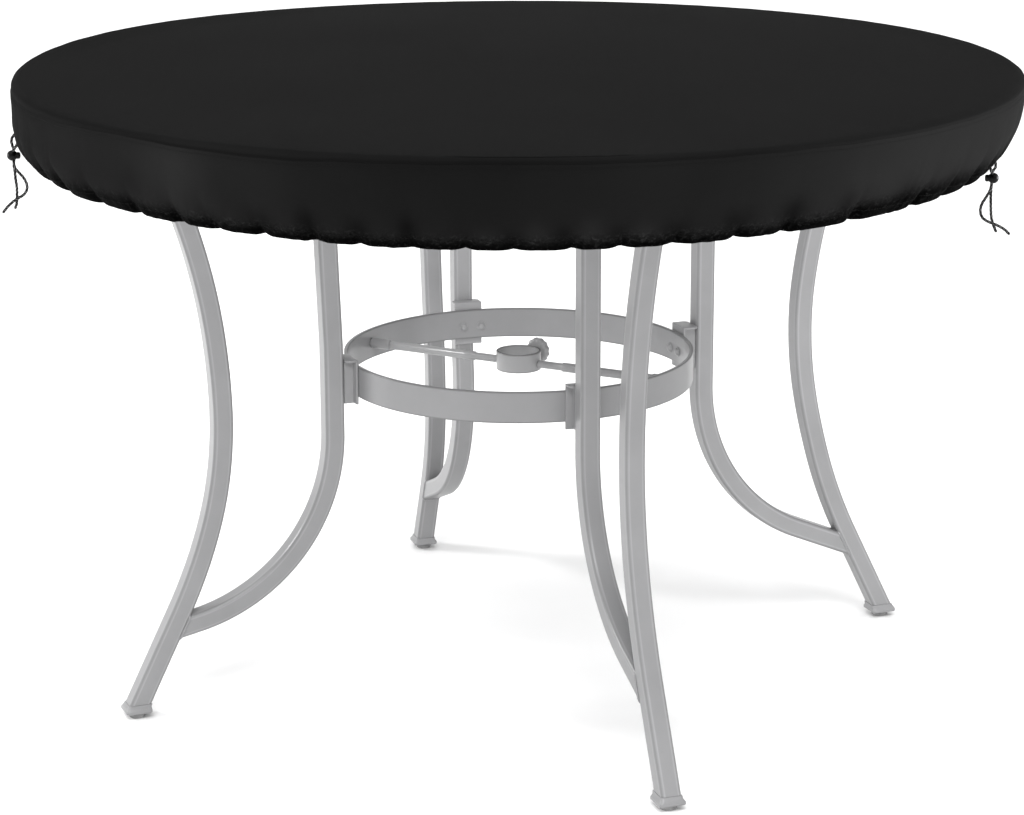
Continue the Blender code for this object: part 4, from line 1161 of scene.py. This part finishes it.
def weldMesh(ring, size):
    # bead of a round section round a closed ring of points, its radius pulsing like laid weld metal: size x
    # (1 + 0.06 sin short + 0.08 sin long), in waves of 2.6 and 17 mm
    closed = np.vstack([ring, ring[:1]])
    reach = np.append(0, np.cumsum(np.linalg.norm(np.diff(closed, axis=0), axis=1)))
    even = np.linspace(0, reach[-1], 180, endpoint=False)
    spine = np.stack([np.interp(even, reach, closed[:, k]) for k in range(3)], axis=-1)
    tangent = unit(np.roll(spine, -1, axis=0) - np.roll(spine, 1, axis=0))
    side = spine - spine.mean(axis=0)
    side = unit(side - tangent * (side * tangent).sum(axis=1, keepdims=True))
    angle = np.linspace(0, 2 * np.pi, 10, endpoint=False)
    short, long = (np.sin(even * 2 * np.pi / (wave * mm)) for wave in (2.6, 17))
    lump = size * (1 + 0.06 * short + 0.08 * long)
    section = lump[:, None, None] * np.stack([np.cos(angle), np.sin(angle)], axis=-1)
    rings = sweptPoints(spine, side, np.cross(tangent, side), section)
    return buildMesh("weld", rings.reshape(-1, 3), [loopQuads(*rings.shape[:2])])


def roundedCopy(node, width, segments=3):
    # the CAD node's own shape with its doubles merged and its edges rounded
    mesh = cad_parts[node].data.copy()
    work = bmesh.new()
    work.from_mesh(mesh)
    bmesh.ops.remove_doubles(work, verts=work.verts, dist=0.00002)
    bmesh.ops.dissolve_limit(work, angle_limit=math.radians(0.6), verts=work.verts, edges=work.edges)
    bmesh.ops.recalc_face_normals(work, faces=work.faces)
    work.to_mesh(mesh)
    work.free()
    for layer in list(mesh.attributes):
        if layer.name.startswith("custom_normal"):
            mesh.attributes.remove(layer)
    holder = bpy.data.objects.new("rounding", mesh)
    bpy.context.collection.objects.link(holder)
    step = holder.modifiers.new("rounding", "BEVEL")
    step.width = width
    step.segments = segments
    step.limit_method = "ANGLE"
    step.angle_limit = math.radians(32)
    result = evaluatedMesh(holder)
    bpy.data.objects.remove(holder)
    result.shade_smooth()
    result.set_sharp_from_angle(angle=math.radians(34))
    return result


steelValues = {
    "coat": (0.215, 0.215, 0.219), "coatRoughness": 0.30,
    "hardware": (0.245, 0.245, 0.248), "hardwareRoughness": 0.28,
    "cloudDark": 0.92, "cloudLight": 1.05,  # the tone drifts between these shares of itself
    "rubDark": 0.72, "rubDepth": 0.6,
}


def steelMaterial(name, tone, roughness, values):
    # light grey powder coat: fine orange peel, faint clouding, small darker rubs, and x (1 -
    # paintedCornerShade), the painted shade and highlights along the corners
    material, tree, shader = newMaterial(name, Specular_IOR_Level=0.4)
    spot = objectSpot(tree)
    peel = noiseNode(tree, spot, 700.0, 2.0)
    cloud = noiseNode(tree, spot, 9.0, 5.0, Roughness=0.6)
    rub = noiseNode(tree, spot, 130.0, 6.0, Roughness=0.72)
    shares = (values["cloudDark"], values["cloudLight"], values["rubDark"])
    dark, light, rubbed = (tuple(share * c for c in tone) for share in shares)
    base = rampNode(tree, cloud, [(0.30, dark), (0.70, light)])
    worn = times(tree, rampNode(tree, rub, [(0.66, 0.0), (0.76, 1.0)]), values["rubDepth"])
    corner = addNode(tree, "Attribute", attribute_name="paintedCornerShade").outputs["Fac"]
    coat = mixColour(tree, worn, base, rubbed)
    # times the painted shade and highlights of the corners
    coat = mixColour(tree, 1.0, coat, mathNode(tree, "SUBTRACT", 1.0, corner), "MULTIPLY")
    feed(tree, shader, Base_Color=coat,
         Roughness=betweenNode(tree, cloud, roughness - 0.06, roughness + 0.10),
         Normal=bumpNode(tree, peel, 0.18, 0.2 * mm))
    return material


def rubberMaterial():
    # grey glide: matte, finely pitted
    material, tree, shader = newMaterial("glideRubber", Specular_IOR_Level=0.3)
    spot = objectSpot(tree)
    pits, dirt = noiseNode(tree, spot, 900.0, 4.0), noiseNode(tree, spot, 120.0, 4.0)
    feed(tree, shader, Base_Color=rampNode(tree, dirt, [(0.35, 0.22), (0.65, 0.33)]),
         Roughness=betweenNode(tree, dirt, 0.6, 0.8), Normal=bumpNode(tree, pits, 0.4, 0.2 * mm))
    return material


def bandMesh(name, radius, thick, low, high, corner, beyond, sides):
    # flat band: a rounded rectangle from low to high, turned about Z, with painted shade round the corners
    outline = roundedRectangle(thick, high - low, corner, 4, beyond)
    mesh = turnedMesh(name, outline + [radius, (low + high) / 2], sides)
    markPoints(mesh, "paintedCornerShade", np.repeat(np.tile(bandPaintedShade, 4), sides))
    return mesh


def hoopMesh():
    # the band that ties the legs
    v = tableValues
    return bandMesh("hoop", v["hoopRadius"], v["hoopThick"], v["hoopLow"], v["hoopHigh"],
                    v["hoopCorner"], v["hoopShoulder"], 320)


def ringMesh():
    # the band that an umbrella's pole goes through
    v = tableValues
    return bandMesh("ring", (v["ringOuter"] + v["ringInner"]) / 2, v["ringOuter"] - v["ringInner"],
                    v["ringLow"], v["ringHigh"], v["ringCorner"], v["ringShoulder"], 128)


def tableTopMesh():
    # disc with a quarter-round edge above and below
    v = tableValues
    low, high, r, e = v["topFace"] - v["topThick"], v["topFace"], v["topRadius"], v["topEdge"]
    turns = np.radians(np.linspace(90, 0, 7))
    curve = np.stack([r - e * (1 - np.cos(turns)), e * (1 - np.sin(turns))], axis=-1)
    upper = np.column_stack([curve[:, 0], high - curve[:, 1]])
    lower = np.column_stack([curve[::-1, 0], low + curve[::-1, 1]])
    rows = np.vstack([[0, high], [r * 0.5, high], upper, lower, [r * 0.5, low], [0, low]])
    return turnedMesh("top", rows, 256)


def facing(bearing, distance, height, tilt=90):
    # pose of a piece turned about its own Z: laid along its bearing, its foot at a distance out and a height
    return (Matrix.Rotation(math.radians(bearing), 4, "Z") @ Matrix.Translation((distance, 0, height))
            @ Matrix.Rotation(math.radians(tilt), 4, "Y"))


boltValues = {
    "side": 11.7 * mm,      # from the leg's middle
    "height": 388 * mm,
    "domeRadius": 4.6,      # mm, as the flange's rows
    "domeFoot": 0.9,
    "domeRise": 2.9,
}

# The bolt head's flange, under its dome. Columns: radius, height above the hoop (mm)
boltFlange = ((0, 0), (6.2, 0), (6.2, 0.5), (5.7, 0.8), (4.9, 0.7))


def boltMesh(leg, offset):
    # flanged head on the hoop's inner face, its dome a quarter ellipse
    v, bolt = tableValues, boltValues
    face = v["hoopRadius"] - v["hoopThick"] / 2
    bearing = legBearing(leg, bolt["height"]) + math.degrees((offset + leg["bolts"] * mm) / face)
    turns = np.radians(np.linspace(0, 90, 7))
    height = bolt["domeFoot"] + bolt["domeRise"] * np.sin(turns)
    dome = np.column_stack([bolt["domeRadius"] * np.cos(turns), height])
    dome[-1, 0] = 0
    pose = facing(bearing, face - v["gap"], bolt["height"], -90)
    return turnedMesh("bolt", np.vstack([boltFlange, dome]) * mm, 36, pose)


knobValues = {
    "bearing": 78.0,
    "height": 399.5 * mm,
    "radius": 15.4 * mm,
    "screw": 3 * mm,
    "into": 0.4 * mm,       # the screw's tip reaches this far past the ring's inner face
    "out": 4.4 * mm,        # the head starts this far from the ring
    "scallops": 12,
    "scallopDepth": 0.035,  # share of the radius
}

# The knob's head. Columns: how far in from its radius, how far out from its foot (mm)
knobHead = ((5.0, 0.0), (1.6, 0.9), (0.4, 2.4), (0.0, 4.4), (0.0, 7.2), (0.6, 9.2), (1.8, 10.5), (3.4, 11.0),
            (5.0, 10.8), (6.4, 9.9), (7.2, 9.3))


def knobMesh(values):
    # thumb knob: screw, scalloped rim of radius R (1 - scallopDepth cos(scallops angle)), dished face
    v, r = tableValues, values["radius"]
    tip, face = v["ringInner"] + values["into"], v["ringOuter"] + values["out"]
    section = ([(0, tip), (values["screw"], tip), (values["screw"], face)]
               + [(r - inside * mm, face + out * mm) for inside, out in knobHead] + [(0, face + 9 * mm)])

    def scallop(bearing):
        # 1 - scallopDepth cos(scallops bearing)
        return 1 - values["scallopDepth"] * np.cos(np.radians(bearing) * values["scallops"])

    return turnedMesh("knob", section, 144, facing(values["bearing"], 0, values["height"]), scallop)


rodValues = {
    "height": 392.5 * mm,
    "thin": 4.6 * mm,           # radius by the ring
    "thick": 5.3 * mm,          # and farther out
    "collarFrom": 61.5 * mm,
    "collarTo": 77.5 * mm,
    "short": 27.9 * mm,         # the ferrule's room before the hoop
    "edge": 0.4 * mm,
}


def rodMesh(k, values):
    # stepped round rod: thin by the ring, a collar, then the thicker tube out to the ferrule
    v = tableValues
    near, far = v["ringOuter"] + v["gap"], v["hoopRadius"] - v["hoopThick"] / 2 - values["short"]
    thin, thick, edge = values["thin"], values["thick"], values["edge"]
    collar, collarEnd, step = values["collarFrom"], values["collarTo"], 0.5 * mm
    rows = ((0, near), (thin - edge, near), (thin, near + edge), (thin, collar - 3 * step),
            (thick, collar - step), (thick + edge, collar), (thick + edge, collarEnd),
            (thick, collarEnd + step), (thick, far - edge), (thick - edge, far), (0, far))
    return turnedMesh("rod", rows, 32, facing(180 * k, 0, values["height"]))


# Fittings that keep the CAD nodes' shape. Columns: piece, node, rounding of the edges (mm)
legFittings = (("legPlate", "leg_plate", 0.8), ("footCap", "foot_cap", 0.7), ("hoopBracket", "bracket", 0.9))


def makeTable():
    # the top, four legs with their fittings, then the hoop and what it holds
    v = steelValues
    steel = steelMaterial("greyPowderCoat", v["coat"], v["coatRoughness"], v)
    bright = steelMaterial("greyHardware", v["hardware"], v["hardwareRoughness"], v)
    rubber = rubberMaterial()
    placePiece("tableTop", tableTopMesh(), steel, "grey_steel", ["table_top"], sharp=35)
    for side, leg in tableLegs.items():
        bar, cutEnd = innerBarMesh(leg)
        outer = outerBarMesh(leg)
        placePiece(f"outerBar_{side}", outer, steel, "grey_steel", [f"outer_bar_{side}"], sharp=50)
        placePiece(f"innerBar_{side}", bar, steel, "grey_steel", [f"inner_bar_{side}"], sharp=50)
        placePiece(f"weldBead_{side}", weldMesh(cutEnd, tableValues["weld"]), steel, "grey_steel")
        for name, node, width in legFittings:
            placePiece(f"{name}_{side}", roundedCopy(f"{node}_{side}", width * mm), steel, "grey_steel",
                       [f"{node}_{side}"])
        placePiece(f"footGlide_{side}", roundedCopy(f"foot_glide_{side}", 0.5 * mm), rubber, "glide_rubber",
                   [f"foot_glide_{side}"])
        for k, offset in enumerate((-boltValues["side"], boltValues["side"])):
            placePiece(f"hoopBolt_{side}_{k + 1}", boltMesh(leg, offset), bright, "grey_steel",
                       [f"bracket_bolt_{side}_{k + 1}"], sharp=40)
    placePiece("hoopBand", hoopMesh(), steel, "grey_steel", ["hoop"], sharp=50)
    for k in range(2):
        placePiece(f"crossRod_{k + 1}", rodMesh(k, rodValues), bright, "grey_steel", [f"cross_rod_{k + 1}"],
                   sharp=40)
        placePiece(f"rodFerrule_{k + 1}", roundedCopy(f"rod_ferrule_{k + 1}", 0.5 * mm), bright, "grey_steel",
                   [f"rod_ferrule_{k + 1}"])
    placePiece("umbrellaRing", ringMesh(), bright, "grey_steel", ["umbrella_ring"], sharp=50)
    placePiece("thumbKnob", knobMesh(knobValues), bright, "grey_steel", ["umbrella_knob"], sharp=40)
    print("table made")


makeTable()


# Studio: pale floor, white surroundings, a soft sun, and lamps that are each meant for some of the pieces

studioValues = {
    "floorRadius": 16.0,
    "floorTone": 0.86,
    "sky": 0.85,
    "sunStrength": 1.5,
    "sunAngle": 60.0,
    "sunSpot": (0.3, -0.5, 4.0),
}

# Lamps: across the view, towards the viewer and up (m), height aimed at, power (W), size, what each one
# lights, whether only the frame's parts shade it, and its share of diffuse light where not 1
studioLamps = {
    # side panels lift the skirt's ends
    "leftPanel": {"across": -3.2, "towards": -0.3, "up": 0.72, "aim": 0.7, "power": 100.0, "size": 2.0,
                  "lights": "cover"},
    "rightPanel": {"across": 3.2, "towards": -0.3, "up": 0.72, "aim": 0.7, "power": 140.0, "size": 2.0,
                   "lights": "cover"},
    # chiefly a glint along the bars' corners
    "leftRim": {"across": -3.0, "towards": -0.5, "up": 1.7, "aim": 0.35, "power": 60.0, "size": 0.8,
                "lights": "table", "diffuse": 0.05},
    # the bars' front, and then a little more for the legs behind
    "frontKey": {"across": 0.0, "towards": 7.2, "up": 7.6, "aim": 0.2, "power": 780.0, "size": 6.0,
                 "lights": "table", "frameShade": True},
    "farFill": {"across": 0.0, "towards": 5.0, "up": 2.0, "aim": 0.4, "power": 125.0, "size": 2.0,
                "lights": "far", "frameShade": True},
}


def makeFloor(values):
    # round sheet of paper far wider than the view
    bearing = np.arange(64) * 360 / 64
    points = np.vstack([polar(bearing, values["floorRadius"], 0.0), [0, 0, 0]])
    mesh = buildMesh("floor", points, [fanTriangles(np.arange(64), 64)], outward=False)
    material, tree, shader = newMaterial("paperFloor", Roughness=0.9, Specular_IOR_Level=0.1)
    fibre, tone = noiseNode(tree, objectSpot(tree), 3.0, 4.0), values["floorTone"]
    feed(tree, shader, Base_Color=rampNode(tree, fibre, [(0.3, tone - 0.01), (0.7, tone + 0.01)]))
    floor = bpy.data.objects.new("paperFloor", mesh)
    mesh.materials.append(material)
    bpy.context.collection.objects.link(floor)
    litPieces["table"].objects.link(floor)


def aimedLight(name, kind, spot, target, power):
    # a light at a spot, its -Z turned to a target
    light = bpy.data.lights.new(name, kind)
    light.energy = power
    holder = bpy.data.objects.new(name, light)
    bpy.context.collection.objects.link(holder)
    direction = Vector(target) - Vector(spot)
    holder.matrix_world = Matrix.Translation(spot) @ direction.to_track_quat("-Z", "Y").to_matrix().to_4x4()
    return holder


def makeLamp(name, lamp):
    # rectangle of light, twice as wide as tall, placed by the viewer's own directions
    across, towards = viewerAxes()
    spot = across * lamp["across"] + towards * lamp["towards"] + [0, 0, lamp["up"]]
    holder = aimedLight(name, "AREA", spot.tolist(), (0, 0, lamp["aim"]), lamp["power"])
    holder.data.shape = "RECTANGLE"
    holder.data.size = lamp["size"]
    holder.data.size_y = lamp["size"] / 2
    holder.data.diffuse_factor = lamp.get("diffuse", 1.0)
    holder.light_linking.receiver_collection = litPieces[lamp["lights"]]
    if lamp.get("frameShade"):
        holder.light_linking.blocker_collection = frameParts


def makeStudio(values):
    # floor, an even white world, a wide sun and the lamps
    makeFloor(values)
    world = bpy.data.worlds.new("studioWhite")
    world.use_nodes = True
    background = world.node_tree.nodes["Background"]
    background.inputs["Color"].default_value = (1, 1, 1, 1)
    background.inputs["Strength"].default_value = values["sky"]
    bpy.context.scene.world = world
    sun = aimedLight("softSun", "SUN", values["sunSpot"], (0, 0, 0), values["sunStrength"])
    sun.data.angle = math.radians(values["sunAngle"])
    for name, lamp in studioLamps.items():
        makeLamp(name, lamp)
    bpy.context.scene.view_settings.view_transform = "Standard"
    print("studio made")


makeStudio(studioValues)
